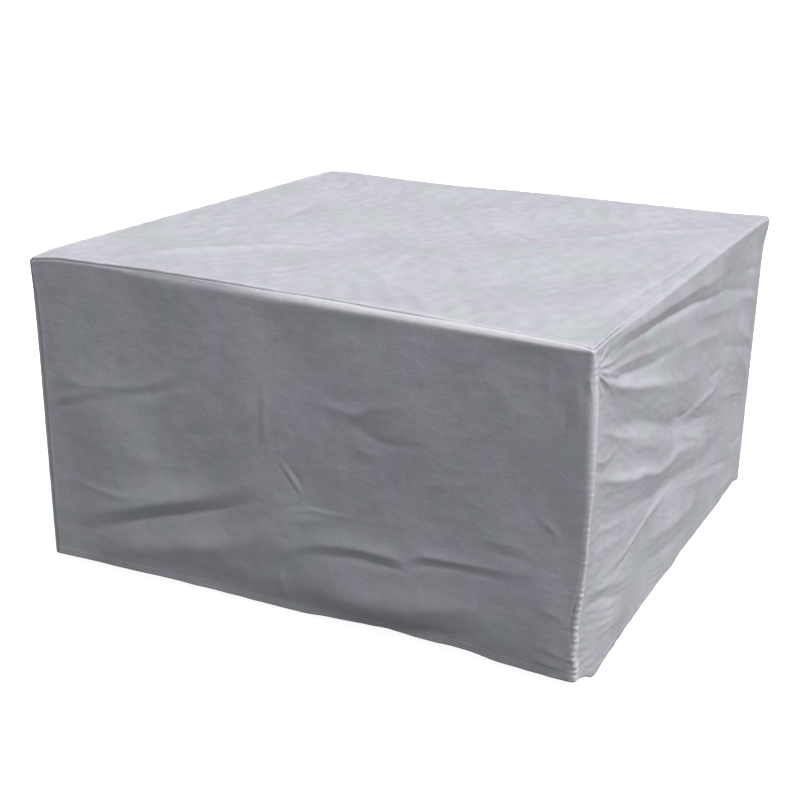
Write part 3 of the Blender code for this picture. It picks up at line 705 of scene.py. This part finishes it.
def seam_values(name, at):
    """A seam's columns at each place along it, on straight lines between its rows."""
    rows = np.array(SEAMS.get(name, PLAIN_LEVEL if name.endswith("top") else PLAIN_UPRIGHT))
    spots, *lengths = rows[:, :-1].T / 1000
    return Seam(at, *[np.interp(at, spots, column) for column in (*lengths, rows[:, -1])])


def seam_gathers(name, at):
    """Ripples along a seam between -1 and 1, the same on both its panels."""
    return ripple(at, PUCKER_PITCH, sum(map(ord, name)))


def seam_painted_shade(name, distance, at):
    """Painted shade at a seam: a bell across it, broken into dashes where the seam is gathered."""
    seam = seam_values(name, at)
    broken = np.minimum(seam.pucker / FULL_PUCKER, 1.0) * ease(0.5 + 1.2 * seam_gathers(name, at))
    return seam.ink * (1 - 0.85 * broken) * bell(distance / (1.1 * seam.wide))


def seam_height(name, side, distance, at):
    """Relief beside a seam, by the distance from it and the way along it.

    The very edge falls off as a bell, the welt is a bell beside it, and the gathers are
    ripples along the seam that die out away from it.
    """
    seam = seam_values(name, at)
    total = seam.edge * bell(distance / seam.wide)
    total += getattr(seam, side) * bell((distance - WELT_AT) / WELT_WIDTH)
    return total + seam.pucker * np.exp(-distance / PUCKER_REACH) * seam_gathers(name, at)


HEM_GROOVE = 0.0003    # depth of the groove that the hem's stitches pull, and height of its band
HEM_ROLL = 0.0014      # how far its edge rolls in
HEM_CREASE = 0.0018    # width of the groove, and of the roll
HEM_GATHER, HEM_GATHER_PITCH = 0.0006, 0.0145
HEM_SLOW, HEM_SLOW_PITCH = 0.0008, 0.075


def hem_height(up, along, ends, seed):
    """The turned hem: a stitched groove over a slightly proud band that rolls in at its edge.

    The band ripples, and its ripples die out towards the panel's ends.
    """
    groove = -HEM_GROOVE * bell((up - HEM_BAND) / HEM_CREASE)
    band = HEM_GROOVE * (1 - ease((up - HEM_BAND + 0.001) / 0.002))
    roll = -HEM_ROLL * bell(up / HEM_CREASE)
    gather = HEM_GATHER * ripple(along, HEM_GATHER_PITCH, seed) * bell((up - HEM_BAND) / 0.013)
    slow = HEM_SLOW * ripple(along, HEM_SLOW_PITCH, seed + 1) * np.exp(-up / 0.030)
    return groove + band + roll + (gather + slow) * ease(ends / (2 * SEAM_CALM))


# ---------------------------------------------------------------- a panel
# Where the cuts of a grid are closer: round a place, within a width, by a gain.
Crowd = namedtuple("Crowd", "at width gain")
AT_ENDS = [Crowd(0.0, 0.022, 3.0), Crowd(WIDTH, 0.022, 3.0)]
UPRIGHT = [Crowd(0.0, 0.016, 3.0), Crowd(HEM_BAND, 0.006, 2.0), Crowd(DROP + 0.004, 0.03, 2.5)]


def crowded(length, count, crowds):
    """Shares from 0 to 1 of a length, cut so that each step holds an equal part of a density.

    The density is 1 everywhere, and a bell of a crowd's gain more round each crowd.
    """
    fine = np.linspace(0.0, length, 12001)
    density = np.ones_like(fine)
    for crowd in crowds:
        density += crowd.gain * bell((fine - crowd.at) / crowd.width)
    mass = np.concatenate([[0.0], np.cumsum((density[1:] + density[:-1]) / 2)])
    return np.interp(np.linspace(0.0, mass[-1], count + 1), mass, fine) / length


def steps(points, axis):
    """Distance of each grid point from the grid's first line, measured on the cloth."""
    step = np.linalg.norm(np.diff(points, axis=axis), axis=-1)
    start = np.zeros_like(np.take(step, [0], axis=axis))
    return np.concatenate([start, np.cumsum(step, axis=axis)], axis=axis)


def lowest_near(values):
    """The lowest of each grid value and its eight neighbours."""
    for axis in (0, 1):
        count = values.shape[axis]
        ends = [np.take(values, [0], axis), values, np.take(values, [-1], axis)]
        padded = np.concatenate(ends, axis)
        near = [np.take(padded, range(k, k + count), axis) for k in range(3)]
        values = np.minimum(np.minimum(near[0], near[1]), near[2])
    return values


def grid_faces(index):
    """Quads of a grid of point indices, each of four neighbours."""
    a, b, c, d = index[:-1, :-1], index[:-1, 1:], index[1:, 1:], index[1:, :-1]
    return np.stack([a, b, c, d], axis=-1).reshape(-1, 4)


def border_loop(index):
    """The indices round a grid's border, anticlockwise from its first corner."""
    return np.concatenate([index[0, :-1], index[:-1, -1], index[-1, :0:-1], index[:0:-1, 0]])


def rim_faces(outer, inner):
    """Triangles between the outer sheet's border and the inner one's, which has half its steps.

    Both are closed loops of indices that run the same way. Three triangles fill each step.
    """
    o0, o1, o2 = outer[0::2], outer[1::2], np.roll(outer[0::2], -1)
    i0, i1 = inner, np.roll(inner, -1)
    fans = [np.stack(three, axis=-1) for three in ((o1, o0, i0), (o2, o1, i1), (i1, o1, i0))]
    return np.concatenate(fans)


def mesh_piece(name, points, faces, uv, attributes):
    """A mesh piece from its points and lists of faces, each an array with a face a row."""
    mesh = bpy.data.meshes.new(name)
    loops = np.concatenate([part.ravel() for part in faces])
    corners = np.concatenate([np.full(len(part), part.shape[1]) for part in faces])
    starts = np.concatenate([[0], np.cumsum(corners)[:-1]])
    mesh.vertices.add(len(points))
    mesh.vertices.foreach_set("co", points.astype(np.float32).ravel())
    mesh.loops.add(len(loops))
    mesh.loops.foreach_set("vertex_index", loops.astype(np.int32))
    mesh.polygons.add(len(corners))
    mesh.polygons.foreach_set("loop_start", starts.astype(np.int32))
    mesh.polygons.foreach_set("use_smooth", np.ones(len(corners), bool))
    mesh.update(calc_edges=True)
    layer = mesh.uv_layers.new(name="cut")
    layer.data.foreach_set("uv", uv[loops].astype(np.float32).ravel())
    for label, values in attributes.items():
        attribute = mesh.attributes.new(label, "FLOAT", "POINT")
        attribute.data.foreach_set("value", values.astype(np.float32))
    mesh.validate()
    piece = bpy.data.objects.new(name, mesh)
    bpy.context.scene.collection.objects.link(piece)
    return piece


# A sewn border: which edge of the panel's grid it is, its seam, whether the panel comes before
# or after that seam, and the places along the seam.
Border = namedtuple("Border", "where seam side at")
# A finished panel: its piece, its outer sheet's points, normals and distances over the hem.
Laid = namedtuple("Laid", "piece outer normal over")


FOLD_SEED = 40
PULL_FADE = 0.20       # how far the stronger strain lines run in from the seam
# painted shade along the hem's stitched groove, and how wide it is
HEM_PAINTED_SHADE, HEM_PAINTED_SHADE_WIDTH = 0.07, 0.0016


def slack_of(name, along, up, away, borders):
    """The panel's folds, billows and crumples, which die out at each sewn border."""
    seed, uneven = sum(map(ord, name)), UNEVEN[name]
    folds = [fold_in_metres(row) for row in FOLDS[name]]
    slack = sum(fold_height(fold, along, up, FOLD_SEED + k) for k, fold in enumerate(folds))
    if name == "right_panel":
        slack += sum(pleat_height(pleat, along, up) for pleat in PLEATS)
    slow = uneven.billow * billows(along, up, seed)
    for border in borders:
        slow *= ease(away[border.where] / BILLOW_CALM)
    slack += slow
    slack += uneven.crumple * crumples(along, up, seed + 1)
    if uneven.strain:
        flow = front_flow(along, up) if name == "front_panel" else right_flow(along, up)
        near = 1 + uneven.pull * np.exp(-along / PULL_FADE)
        slack += uneven.strain * near * strains(along, up, flow, seed + 2)
    for border in borders:
        slack *= ease(away[border.where] / SEAM_CALM)
    return slack


def relief_of(name, along, up, away, borders, roll_painted_shade):
    """Height of all that lies on the cloth, its painted shade, and where it is doubled in the hem.
    """
    relief, ink, hemmed = np.zeros_like(along), roll_painted_shade, np.zeros_like(along)
    for border in borders:
        height = seam_height(border.seam, border.side, away[border.where], border.at)
        for other in borders:
            if other.where != border.where:
                height *= 1 - 0.5 * bell(away[other.where] / CORNER_CALM)
        relief += height
        # painted shade in and beside each seam's groove
        ink = np.maximum(ink, seam_painted_shade(border.seam, away[border.where], border.at))
    relief += slack_of(name, along, up, away, borders)
    if "foot" not in [border.where for border in borders]:
        over, ends = away["foot"], np.minimum(away["start"], away["end"])
        relief += hem_height(over, along, ends, sum(map(ord, name)) + 3)
        hemmed = 1 - ease((over - HEM_BAND) / 0.004)
        # painted shade along the hem's stitched groove
        ink = np.maximum(ink, HEM_PAINTED_SHADE * bell((over - HEM_BAND) / HEM_PAINTED_SHADE_WIDTH))
    return relief, ink, hemmed


def lay_panel(name, place, along, up, borders, rubbed, roll_painted_shade=0.0):
    """One panel of cloth with its thickness, laid from its grid of places along and up.

    Its smooth place on the hanging box is moved along the cloth's normal by its relief. The
    inner sheet has every second point, set in below the lowest of its neighbours.
    """
    def smooth(a, u):
        """A place on the hanging box, without the relief."""
        return hung(rounded(place(a, u)))

    base, normal = smooth(along, up), normal_of(smooth, along, up)
    rows, columns = steps(base, 0), steps(base, 1)
    away = {
        "foot": rows, "head": rows[-1:] - rows, "start": columns, "end": columns[:, -1:] - columns
    }
    relief, ink, hemmed = relief_of(name, along, up, away, borders, roll_painted_shade)
    outer = base + relief[..., None] * normal
    half = (slice(None, None, 2), slice(None, None, 2))
    depth = lowest_near(relief)[half] - CLOTH - (HEM_CLOTH - CLOTH) * hemmed[half]
    inner = base[half] + depth[..., None] * normal[half]

    def both(values):
        """A grid's values at the outer sheet's points, then at the inner one's."""
        width = values.shape[2:]
        return np.concatenate([values.reshape(-1, *width), values[half].reshape(-1, *width)])

    points = np.concatenate([outer.reshape(-1, 3), inner.reshape(-1, 3)])
    outer_index = np.arange(along.size).reshape(along.shape)
    inner_index = along.size + np.arange(depth.size).reshape(depth.shape)
    faces = [
        grid_faces(outer_index),
        grid_faces(inner_index)[:, ::-1],
        rim_faces(border_loop(outer_index), border_loop(inner_index)),
    ]
    # the painted shade, and the wear with painted highlight, go to the material as marks
    marks = {"ink": both(ink), "rubbed": both(rubbed)}
    uv = both(np.stack([along, up], axis=-1))
    piece = mesh_piece(name.replace("_panel", "_cloth"), points, faces, uv, marks)
    return Laid(piece, outer, normal, away["foot"])


EDGE_WAVE, EDGE_WAVE_PITCH = 0.0005, 0.11     # unevenness of the hem's very edge
UPRIGHT_SEAMS = ["front_right", "right_back", "back_left", "left_front"]

# What each side panel reaches over, and its grid: how many steps along and up, and where its
# cuts are closer.
Cut = namedtuple("Cut", "from_before over_after over_top along up crowds")
CUTS = {
    "front_panel": Cut(
        left_over_front, front_over_right, front_over_top, 336, 218, [Crowd(0.68, 0.06, 1.2)]
    ),
    "right_panel": Cut(front_over_right, level, level, 336, 218, [Crowd(0.06, 0.09, 1.0)]),
    "back_panel": Cut(level, level, level, 300, 150, []),
    "left_panel": Cut(level, left_over_front, level, 300, 150, []),
}


def side_cloth(side):
    """A side panel: along from one corner seam to the next, and up from the hem to the top.

    Both ends of a grid line lie on the seams at its own height, and its head on the top seam
    at its own place along, so the two are worked out in turns. Then the hem's rise is added,
    which fades upwards.
    """
    cut = CUTS[side.name]
    share, height = np.meshgrid(
        crowded(WIDTH, cut.along, AT_ENDS + cut.crowds), crowded(DROP, cut.up, UPRIGHT)
    )
    along, up = share * WIDTH, height * DROP
    for _ in range(4):
        start = cut.from_before(up) + SEAM_GAP / 2
        along = start + share * (WIDTH + cut.over_after(up) - SEAM_GAP / 2 - start)
        up = height * (DROP + cut.over_top(along) - SEAM_GAP / 2)
    calm = ease(np.minimum(along, WIDTH - along) / 0.04)
    rise = smooth_line(along, *HEMS.get(side.name, STRAIGHT_HEM)) * np.exp(-up / HEM_FADE)
    wave = EDGE_WAVE * ripple(along, EDGE_WAVE_PITCH, len(side.name)) * calm * np.exp(-up / 0.03)
    up = up + (rise + wave) * (1 - height**8)
    number = SIDES.index(side)
    borders = [
        Border("start", UPRIGHT_SEAMS[number - 1], "after", up),
        Border("end", UPRIGHT_SEAMS[number], "before", up),
        Border("head", side.name.replace("panel", "top"), "before", along),
    ]
    # wear with painted highlight, and painted shade on the front's rolled edge
    rubbed, roll_painted_shade = wear_and_highlight_sides(side.name, along, up), roll_painted_shade_sides(side.name, along, up)
    return lay_panel(
        side.name, lambda a, u: on_side(side, a, u), along, up, borders, rubbed, roll_painted_shade
    )


TOP_STEPS = 272        # steps of the top panel's grid, both ways


def top_cloth():
    """The top panel: from the front's rolled edge to the back's, and from side to side."""
    cuts = crowded(WIDTH, TOP_STEPS, AT_ENDS)
    share, height = np.meshgrid(cuts, cuts)
    x = (share - 0.5) * (WIDTH - SEAM_GAP)
    front = front_over_top(x + HALF) - HALF + SEAM_GAP / 2
    y = front + height * (HALF - SEAM_GAP / 2 - front)
    borders = [
        Border("foot", "front_top", "after", x + HALF),
        Border("end", "right_top", "after", y + HALF),
        Border("head", "back_top", "after", HALF - x),
        Border("start", "left_top", "after", HALF - y),
    ]
    return lay_panel("top_panel", on_top, x, y, borders, wear_and_highlight_top(x, y))


# Where the cloth is lighter from wear and from painted highlight, and where it carries painted
# shade: places along an edge, and how much at each. Across the edge it is a bell.
# painted highlight along the front's rolled edge
FRONT_EDGE_HIGHLIGHT = ([0.00, 0.50, 0.62, 0.70, 0.80], [0.00, 0.00, 0.40, 0.80, 1.00])
# painted shade on the left part of the front's rolled edge
FRONT_EDGE_PAINTED_SHADE = ([0.00, 0.36, 0.58], [0.70, 0.70, 0.00])
# painted highlight on the near corner's bead
UPRIGHT_EDGE_HIGHLIGHT = ([0.00, 0.25, 0.50, 0.66], [1.00, 0.95, 0.80, 1.00])
PAINTED_SHADE_WIDTH = 0.0065
SEAM_RUB_WIDTH = 0.007


def wear_and_highlight_sides(name, along, up):
    """Painted highlight on the front's rolled edge and near corner; wear on other top edges and
    corners.

    On both sides of the near corner its bell is wider at the foot, where the seam is gathered.
    """
    if name == "front_panel":
        spots, _, radii = FRONT_TOP_EDGE
        below = (DROP - up) / smooth_line(along, spots, radii)
        roll = np.interp(along, *FRONT_EDGE_HIGHLIGHT) * ease((0.75 - below) / 0.35)
        reached = front_over_right(up)
        foot = 0.005 * (1 - ease((up - 0.08) / 0.16))
        near = (WIDTH + reached - along) / (0.004 + 0.5 * reached + foot)
        return np.maximum(roll, 0.9 * np.interp(up, *UPRIGHT_EDGE_HIGHLIGHT) * bell(near))
    lightening = 0.06 * bell((up - DROP + 0.002) / SEAM_RUB_WIDTH)
    lightening = np.maximum(lightening, 0.25 * bell((WIDTH - along) / SEAM_RUB_WIDTH))
    if name == "right_panel":
        near = along - front_over_right(up)
        foot = 0.008 * (1 - ease((up - 0.05) / 0.14))
        corner = np.interp(up, *UPRIGHT_EDGE_HIGHLIGHT) * bell((near - 0.001) / (0.006 + foot))
        return np.maximum(lightening, corner)
    return np.maximum(lightening, 0.25 * bell(along / SEAM_RUB_WIDTH))


def roll_painted_shade_sides(name, along, up):
    """Painted shade on the left part of the front's rolled edge, as a bell across it."""
    if name != "front_panel":
        return 0.0
    return np.interp(along, *FRONT_EDGE_PAINTED_SHADE) * bell((DROP - up) / PAINTED_SHADE_WIDTH)


def wear_and_highlight_top(x, y):
    """Top panel: a little wear along its back and left edges, and painted highlight at its front.
    """
    edge = np.minimum(HALF + x, HALF - y)
    front = HALF + y - front_over_top(x + HALF)
    return np.maximum(0.15 * bell(edge / 0.008), 0.40 * bell((front - 0.014) / 0.008))


cloths = {side.name: side_cloth(side) for side in SIDES}
cloths["top_panel"] = top_cloth()


# ---------------------------------------------------------------- stitches
THREAD = 0.00032       # radius of the thread
STITCH = 0.0030        # length of a stitch
STITCH_PITCH = 0.0040
STITCH_RISE = 0.0001   # how far a stitch lies above the cloth
ROUND = 5              # corners round a stitch
STITCH_TIP = 0.56      # half the way from tip to tip, in lengths of a stitch
STITCH_SINK = 1.2      # how deep the tips lie, in radii of the thread
STITCH_RINGS = np.array([[-0.5, 0.35], [-0.28, 1.0], [0.28, 1.0], [0.5, 0.35]])
LOOK_AHEAD = 0.001     # step that gives the way along a row of stitches


def stitches(name, spots, along, outward):
    """A row of stitches, each a short lozenge of thread.

    Each stitch is four rings of five points round its own way along, narrower at both ends,
    with a point at each end. Its middle lies a little outside the cloth.
    """
    across = np.cross(outward, along)
    turn = np.arange(ROUND) * 2 * np.pi / ROUND
    circle = across[:, None] * np.cos(turn)[:, None] + outward[:, None] * np.sin(turn)[:, None]
    middle = spots + outward * STITCH_RISE
    ends, wide = STITCH_RINGS[:, 0] * STITCH, STITCH_RINGS[:, 1] * THREAD
    rings = middle[:, None, None] + along[:, None, None] * ends[:, None, None]
    rings = rings + circle[:, None] * wide[:, None, None]
    sink = outward * THREAD * STITCH_SINK
    tip = along * STITCH * STITCH_TIP
    tips = np.stack([spots - tip - sink, spots + tip - sink], 1)
    points = np.concatenate([rings.reshape(len(spots), -1, 3), tips], axis=1)
    ring = np.arange(ROUND)
    after = np.roll(ring, -1)
    quads = [np.stack([ring, ring + ROUND, after + ROUND, after], 1) + k * ROUND for k in range(3)]
    foot, head = 4 * ROUND, 4 * ROUND + 1
    near = np.stack([np.full(ROUND, foot), ring, after], 1)
    far = np.stack([np.full(ROUND, head), after + 3 * ROUND, ring + 3 * ROUND], 1)
    per = points.shape[1]
    shift = np.arange(len(spots))[:, None, None] * per
    faces = [
        (np.concatenate(quads)[None] + shift).reshape(-1, 4),
        (np.concatenate([near, far])[None] + shift).reshape(-1, 3),
    ]
    points = points.reshape(-1, 3)
    return mesh_piece(name, points, faces, points[:, :2], {})


def row_of_stitches(line, normals):
    """Spots, ways along and ways out for stitches at an even pitch along a line on the cloth."""
    run = np.concatenate([[0.0], np.cumsum(np.linalg.norm(np.diff(line, axis=0), axis=1))])
    at = np.arange(STITCH_PITCH, run[-1] - STITCH_PITCH, STITCH_PITCH)

    def found(where, values):
        """Values at places along the line, on straight lines between its points."""
        return np.stack([np.interp(where, run, values[:, k]) for k in range(3)], axis=1)

    spots, out = found(at, line), found(at, normals)
    ahead = found(at + LOOK_AHEAD, line) - spots
    ahead /= np.linalg.norm(ahead, axis=1, keepdims=True)
    out -= ahead * np.sum(out * ahead, axis=1, keepdims=True)
    return spots, ahead, out / np.linalg.norm(out, axis=1, keepdims=True)


def line_over_hem(laid, distance):
    """The line on a panel's outer sheet at a distance over its hem, and the normals there."""
    over, outer = laid.over, laid.outer
    row = np.argmax(over >= distance, axis=0)
    column = np.arange(over.shape[1])
    share = (distance - over[row - 1, column]) / (over[row, column] - over[row - 1, column])
    line = outer[row - 1, column] + share[:, None] * (outer[row, column] - outer[row - 1, column])
    return line, laid.normal[row, column]


def hem_stitches(name):
    """The row of stitches that holds a side panel's turned hem, in its groove."""
    line, normals = line_over_hem(cloths[name], HEM_BAND)
    return stitches(name.replace("panel", "hem_stitches"), *row_of_stitches(line, normals))


hem_rows = {side.name: hem_stitches(side.name) for side in SIDES}


# ---------------------------------------------------------------- materials
class Field:
    """A shader socket that takes Python arithmetic; each operator adds a Math node."""

    def __init__(self, nodes, socket):
        self.nodes, self.socket = nodes, socket

    def math(self, operation, *values):
        """One Math node on numbers or fields."""
        return self.nodes.node("Math", {"operation": operation}, dict(enumerate(values)))

    def __add__(self, other):
        return self.math("ADD", self, other)

    def __sub__(self, other):
        return self.math("SUBTRACT", self, other)

    def __rsub__(self, other):
        return self.math("SUBTRACT", other, self)

    def __mul__(self, other):
        return self.math("MULTIPLY", self, other)

    __radd__, __rmul__ = __add__, __mul__


class Nodes:
    """A node tree, and the one method that adds any node to it."""

    def __init__(self, tree):
        self.tree = tree

    def node(self, kind, settings=None, inputs=None, output=0):
        """Adds a node of a type, with its settings first, then values or links of its sockets."""
        node = self.tree.nodes.new("ShaderNode" + kind)
        for key, value in (settings or {}).items():
            if key == "stops":
                ramp = node.color_ramp
                for number, (place, colour) in enumerate(value):
                    stop = ramp.elements[number] if number < 2 else ramp.elements.new(place)
                    stop.position, stop.color = place, colour
            else:
                setattr(node, key, value)
        for key, value in (inputs or {}).items():
            self.feed(node.inputs[key], value)
        return Field(self, node.outputs[output])

    def feed(self, socket, value):
        """Links a field to a socket, or sets the socket's own value."""
        if isinstance(value, Field):
            self.tree.links.new(value.socket, socket)
        else:
            socket.default_value = value


class Finish(Nodes):
    """A material with one Principled shader."""

    def __init__(self, name, **constants):
        self.material = bpy.data.materials.new(name)
        self.material.use_nodes = True
        super().__init__(self.material.node_tree)
        self.shader = self.tree.nodes["Principled BSDF"]
        for socket, value in constants.items():
            self.shader.inputs[socket.replace("_", " ")].default_value = value

    def set(self, socket, value):
        """Feeds a socket of the shader."""
        self.feed(self.shader.inputs[socket], value)

    def coordinates(self, kind):
        """Places on the piece itself, or on its cut panel."""
        return self.node("TexCoord", output=kind)

    def noise(self, vector, scale, detail=2.0, roughness=0.5, distortion=0.0):
        """Cloudy values round one half."""
        inputs = {"Vector": vector, "Scale": scale, "Detail": detail}
        inputs.update(Roughness=roughness, Distortion=distortion)
        return self.node("TexNoise", {}, inputs)

    def mark(self, name):
        """A number that the mesh carries at each point."""
        return self.node("Attribute", {"attribute_name": name}, output="Fac")

    def mix(self, share, first, second, blend="MIX"):
        """A colour between two, or with the second laid on the first by a blend mode."""
        settings = {"data_type": "RGBA", "blend_type": blend}
        return self.node("Mix", settings, {0: share, 6: first, 7: second}, output=2)

    def bump(self, height, strength, distance, normal=None):
        """The normal of a fine relief, laid on another one or on the surface."""
        inputs = {"Height": height, "Strength": strength, "Distance": distance}
        if normal is not None:
            inputs["Normal"] = normal
        return self.node("Bump", {}, inputs)


SILVER = (0.520, 0.522, 0.558, 1.0)
VIOLET = (0.558, 0.514, 0.600, 1.0)
GREENISH = (0.486, 0.536, 0.528, 1.0)
# the pale of worn edges and of painted highlights
WEAR_AND_HIGHLIGHT_PALE = (0.760, 0.760, 0.790, 1.0)
# the dark of painted shade at the seams, along the hem's groove and on the front's rolled edge
SEAM_DARK = (0.090, 0.090, 0.105, 1.0)
THREAD_DARK, THREAD_PALE = (0.46, 0.46, 0.49, 1.0), (0.64, 0.64, 0.67, 1.0)
YARNS_PER_METRE = 1450.0   # yarns of the coarse plain weave, each way


def cover_cloth():
    """Coated silver-grey cloth: fine plain weave, thin coat; wear and painted highlight on its
    edges.

    The weave is the product of two sine waves over the cut panel. Slow noise drifts the colour
    a little to violet and to green, finer noise makes it blotchy, and creases scatter its gloss.
    """
    finish = Finish(
        "silver_coated_cloth", Sheen_Weight=0.12, Sheen_Roughness=0.45, Coat_Roughness=0.42
    )
    place = finish.coordinates("Object")
    cut = finish.coordinates("UV")
    drift = finish.noise(place, 6.5, 4.0, 0.62, 0.8)
    blotch = finish.noise(place, 13.0, 5.0, 0.68, 0.6)
    grain = finish.noise(place, 260.0, 2.0, 0.6)
    streak_place = finish.node("Mapping", {}, {"Vector": cut, "Scale": (6.0, 420.0, 1.0)})
    slub = finish.noise(streak_place, 1.0, 1.0)
    ends = finish.node("SeparateXYZ", {}, {"Vector": cut}, "X")
    picks = finish.node("SeparateXYZ", {}, {"Vector": cut}, "Y")
    half_turn = np.pi * YARNS_PER_METRE
    warp = finish.node("Math", {"operation": "SINE"}, {0: ends * half_turn})
    weft = finish.node("Math", {"operation": "SINE"}, {0: picks * half_turn})
    weave = warp * weft

    tint = finish.mix((drift - 0.36) * 3.2, VIOLET, GREENISH)
    tint = finish.mix(0.80, SILVER, tint)
    shade = 1.0 + (blotch - 0.5) * 0.30 + (grain - 0.5) * 0.14 + (slub - 0.5) * 0.03
    shade = shade + weave * 0.020
    grey = finish.node("CombineColor", {}, {0: shade, 1: shade, 2: shade})
    tint = finish.mix(1.0, tint, grey, "MULTIPLY")
    # wear and painted highlight: paler on worn edges, and painted lighter on the front's rolled
    # edge and the near corner's bead
    lightening = finish.mark("rubbed") * (0.55 + blotch * 0.8)
    tint = finish.mix(lightening, tint, WEAR_AND_HIGHLIGHT_PALE)
    # painted shade: darker at the seams, along the hem's groove and on the left of the front's
    # rolled edge
    tint = finish.mix(finish.mark("ink") * 0.8, tint, SEAM_DARK)
    finish.set("Base Color", tint)

    finish.set("Roughness", 0.50 + (blotch - 0.5) * 0.22 + (grain - 0.5) * 0.10 - lightening * 0.10)
    finish.set("Coat Weight", 0.06 + drift * 0.12)
    creases = finish.noise(place, 46.0, 3.0, 0.55, 1.4)
    normal = finish.bump(creases, 0.45, 0.0022)
    normal = finish.bump(weave + (slub - 0.5) * 0.8, 0.30, 0.00012, normal)
    finish.set("Normal", normal)
    return finish.material


def sewing_thread():
    """Pale grey polyester thread, twisted, with a fine wave along its turns."""
    finish = Finish("pale_sewing_thread", Roughness=0.55, Sheen_Weight=0.2)
    place = finish.coordinates("Object")
    turns = finish.noise(place, 2400.0, 1.0)
    finish.set("Base Color", finish.mix(turns, THREAD_DARK, THREAD_PALE))
    finish.set("Normal", finish.bump(turns, 0.4, 0.0002))
    return finish.material


# ---------------------------------------------------------------- the pieces as cloth
silver, thread = cover_cloth(), sewing_thread()
for name, laid in cloths.items():
    laid.piece.data.materials.append(silver)
    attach(laid.piece, "root")
    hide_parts(name)
for row in hem_rows.values():
    row.data.materials.append(thread)
    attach(row, "root")
for name, laid in cloths.items():
    on_it = [hem_rows[name]] if name in hem_rows else []


# ---------------------------------------------------------------- floor, light and camera
FLOOR_DROP = 0.004     # how far the floor lies under the hem's lowest point
FLOOR_SIZE = 60.0
hem_low = min(float(laid.outer[..., 2].min()) for laid in cloths.values())


def pale_floor():
    """A wide plain floor, so pale that it meets the white background without a line."""
    edge = FLOOR_SIZE / 2
    height = hem_low - FLOOR_DROP
    corners = [(-edge, -edge), (edge, -edge), (edge, edge), (-edge, edge)]
    points = np.array([(x, y, height) for x, y in corners])
    floor = mesh_piece("floor", points, [np.array([[0, 1, 2, 3]])], points[:, :2], {})
    finish = Finish("pale_floor", Roughness=0.9, Emission_Strength=0.92)
    finish.set("Base Color", (0.50, 0.50, 0.50, 1.0))
    finish.set("Emission Color", WHITE)
    floor.data.materials.append(finish.material)
    floor.visible_diffuse = False
    floor.visible_glossy = False


SKY_ZENITH = (0.920, 0.925, 0.960, 1.0)
SKY_HORIZON = (0.415, 0.416, 0.424, 1.0)
SKY_BELOW = (0.080, 0.080, 0.080, 1.0)
SKY_STOPS = [(0.0, SKY_BELOW), (0.47, SKY_BELOW), (0.53, SKY_HORIZON), (1.0, SKY_ZENITH)]
SKY_SIDEWAYS = 0.34    # how much brighter it is on the right, and darker on the left
WHITE = (1.0, 1.0, 1.0, 1.0)


def studio_sky():
    """Soft light from all round: brightest overhead, dimmer at the horizon, dark below it.

    It is brighter from the right than from the left. What the camera sees of it is plain white.
    """
    world = bpy.data.worlds.new("studio")
    bpy.context.scene.world = world
    world.use_nodes = True
    sky = Nodes(world.node_tree)
    way = sky.node("TexCoord", output="Generated")
    height = sky.node("SeparateXYZ", {}, {0: way}, "Z") * 0.5 + 0.5
    aside = sky.node("SeparateXYZ", {}, {0: way}, "X") * SKY_SIDEWAYS + 1.0
    colour = sky.node("ValToRGB", {"stops": SKY_STOPS}, {0: height})
    lit = sky.node("Background", {}, {"Color": colour, "Strength": aside})
    seen = sky.node("Background", {}, {"Color": WHITE})
    straight_to_camera = sky.node("LightPath", output="Is Camera Ray")
    shown = sky.node("MixShader", {}, {0: straight_to_camera, 1: lit, 2: seen})
    sky.feed(sky.tree.nodes["World Output"].inputs["Surface"], shown)


KEY_FROM = Vector((0.70, 0.12, 0.66))
KEY_STRENGTH = 1.88
KEY_SOFTNESS = np.radians(40)


def key_light():
    """One broad soft light, high on the right and behind."""
    light = bpy.data.lights.new("key", "SUN")
    light.energy, light.angle = KEY_STRENGTH, KEY_SOFTNESS
    lamp = bpy.data.objects.new("key", light)
    lamp.rotation_euler = KEY_FROM.to_track_quat("Z", "Y").to_euler()
    bpy.context.scene.collection.objects.link(lamp)


CAMERA_AT = Vector((1.552, -3.272, 0.8065))
CAMERA_AZIMUTH, CAMERA_RISE, CAMERA_ROLL = np.radians([26.41, 18.68, 1.27])
LENS = 66.6            # focal length in mm
SENSOR = 36.0          # width in mm
VIEW_END = 200.0


def camera():
    """The camera of the photograph: where it stands, the way it looks and its slight roll."""
    sin_a, cos_a = np.sin(CAMERA_AZIMUTH), np.cos(CAMERA_AZIMUTH)
    sin_e, cos_e = np.sin(CAMERA_RISE), np.cos(CAMERA_RISE)
    back = Vector((sin_a * cos_e, -cos_a * cos_e, sin_e))
    right = Vector((cos_a, sin_a, 0.0))
    upward = back.cross(right)
    turned = right * np.cos(CAMERA_ROLL) + upward * np.sin(CAMERA_ROLL)
    upward = upward * np.cos(CAMERA_ROLL) - right * np.sin(CAMERA_ROLL)
    data = bpy.data.cameras.new("camera")
    data.lens, data.sensor_width, data.clip_end = LENS, SENSOR, VIEW_END
    eye = bpy.data.objects.new("camera", data)
    turn = Matrix((turned, upward, back)).transposed().to_4x4()
    eye.matrix_world = Matrix.Translation(CAMERA_AT) @ turn
    bpy.context.scene.collection.objects.link(eye)
    bpy.context.scene.camera = eye


pale_floor()
studio_sky()
key_light()
camera()
scene = bpy.context.scene
scene.view_settings.view_transform = "Standard"
scene.cycles.use_denoising = True
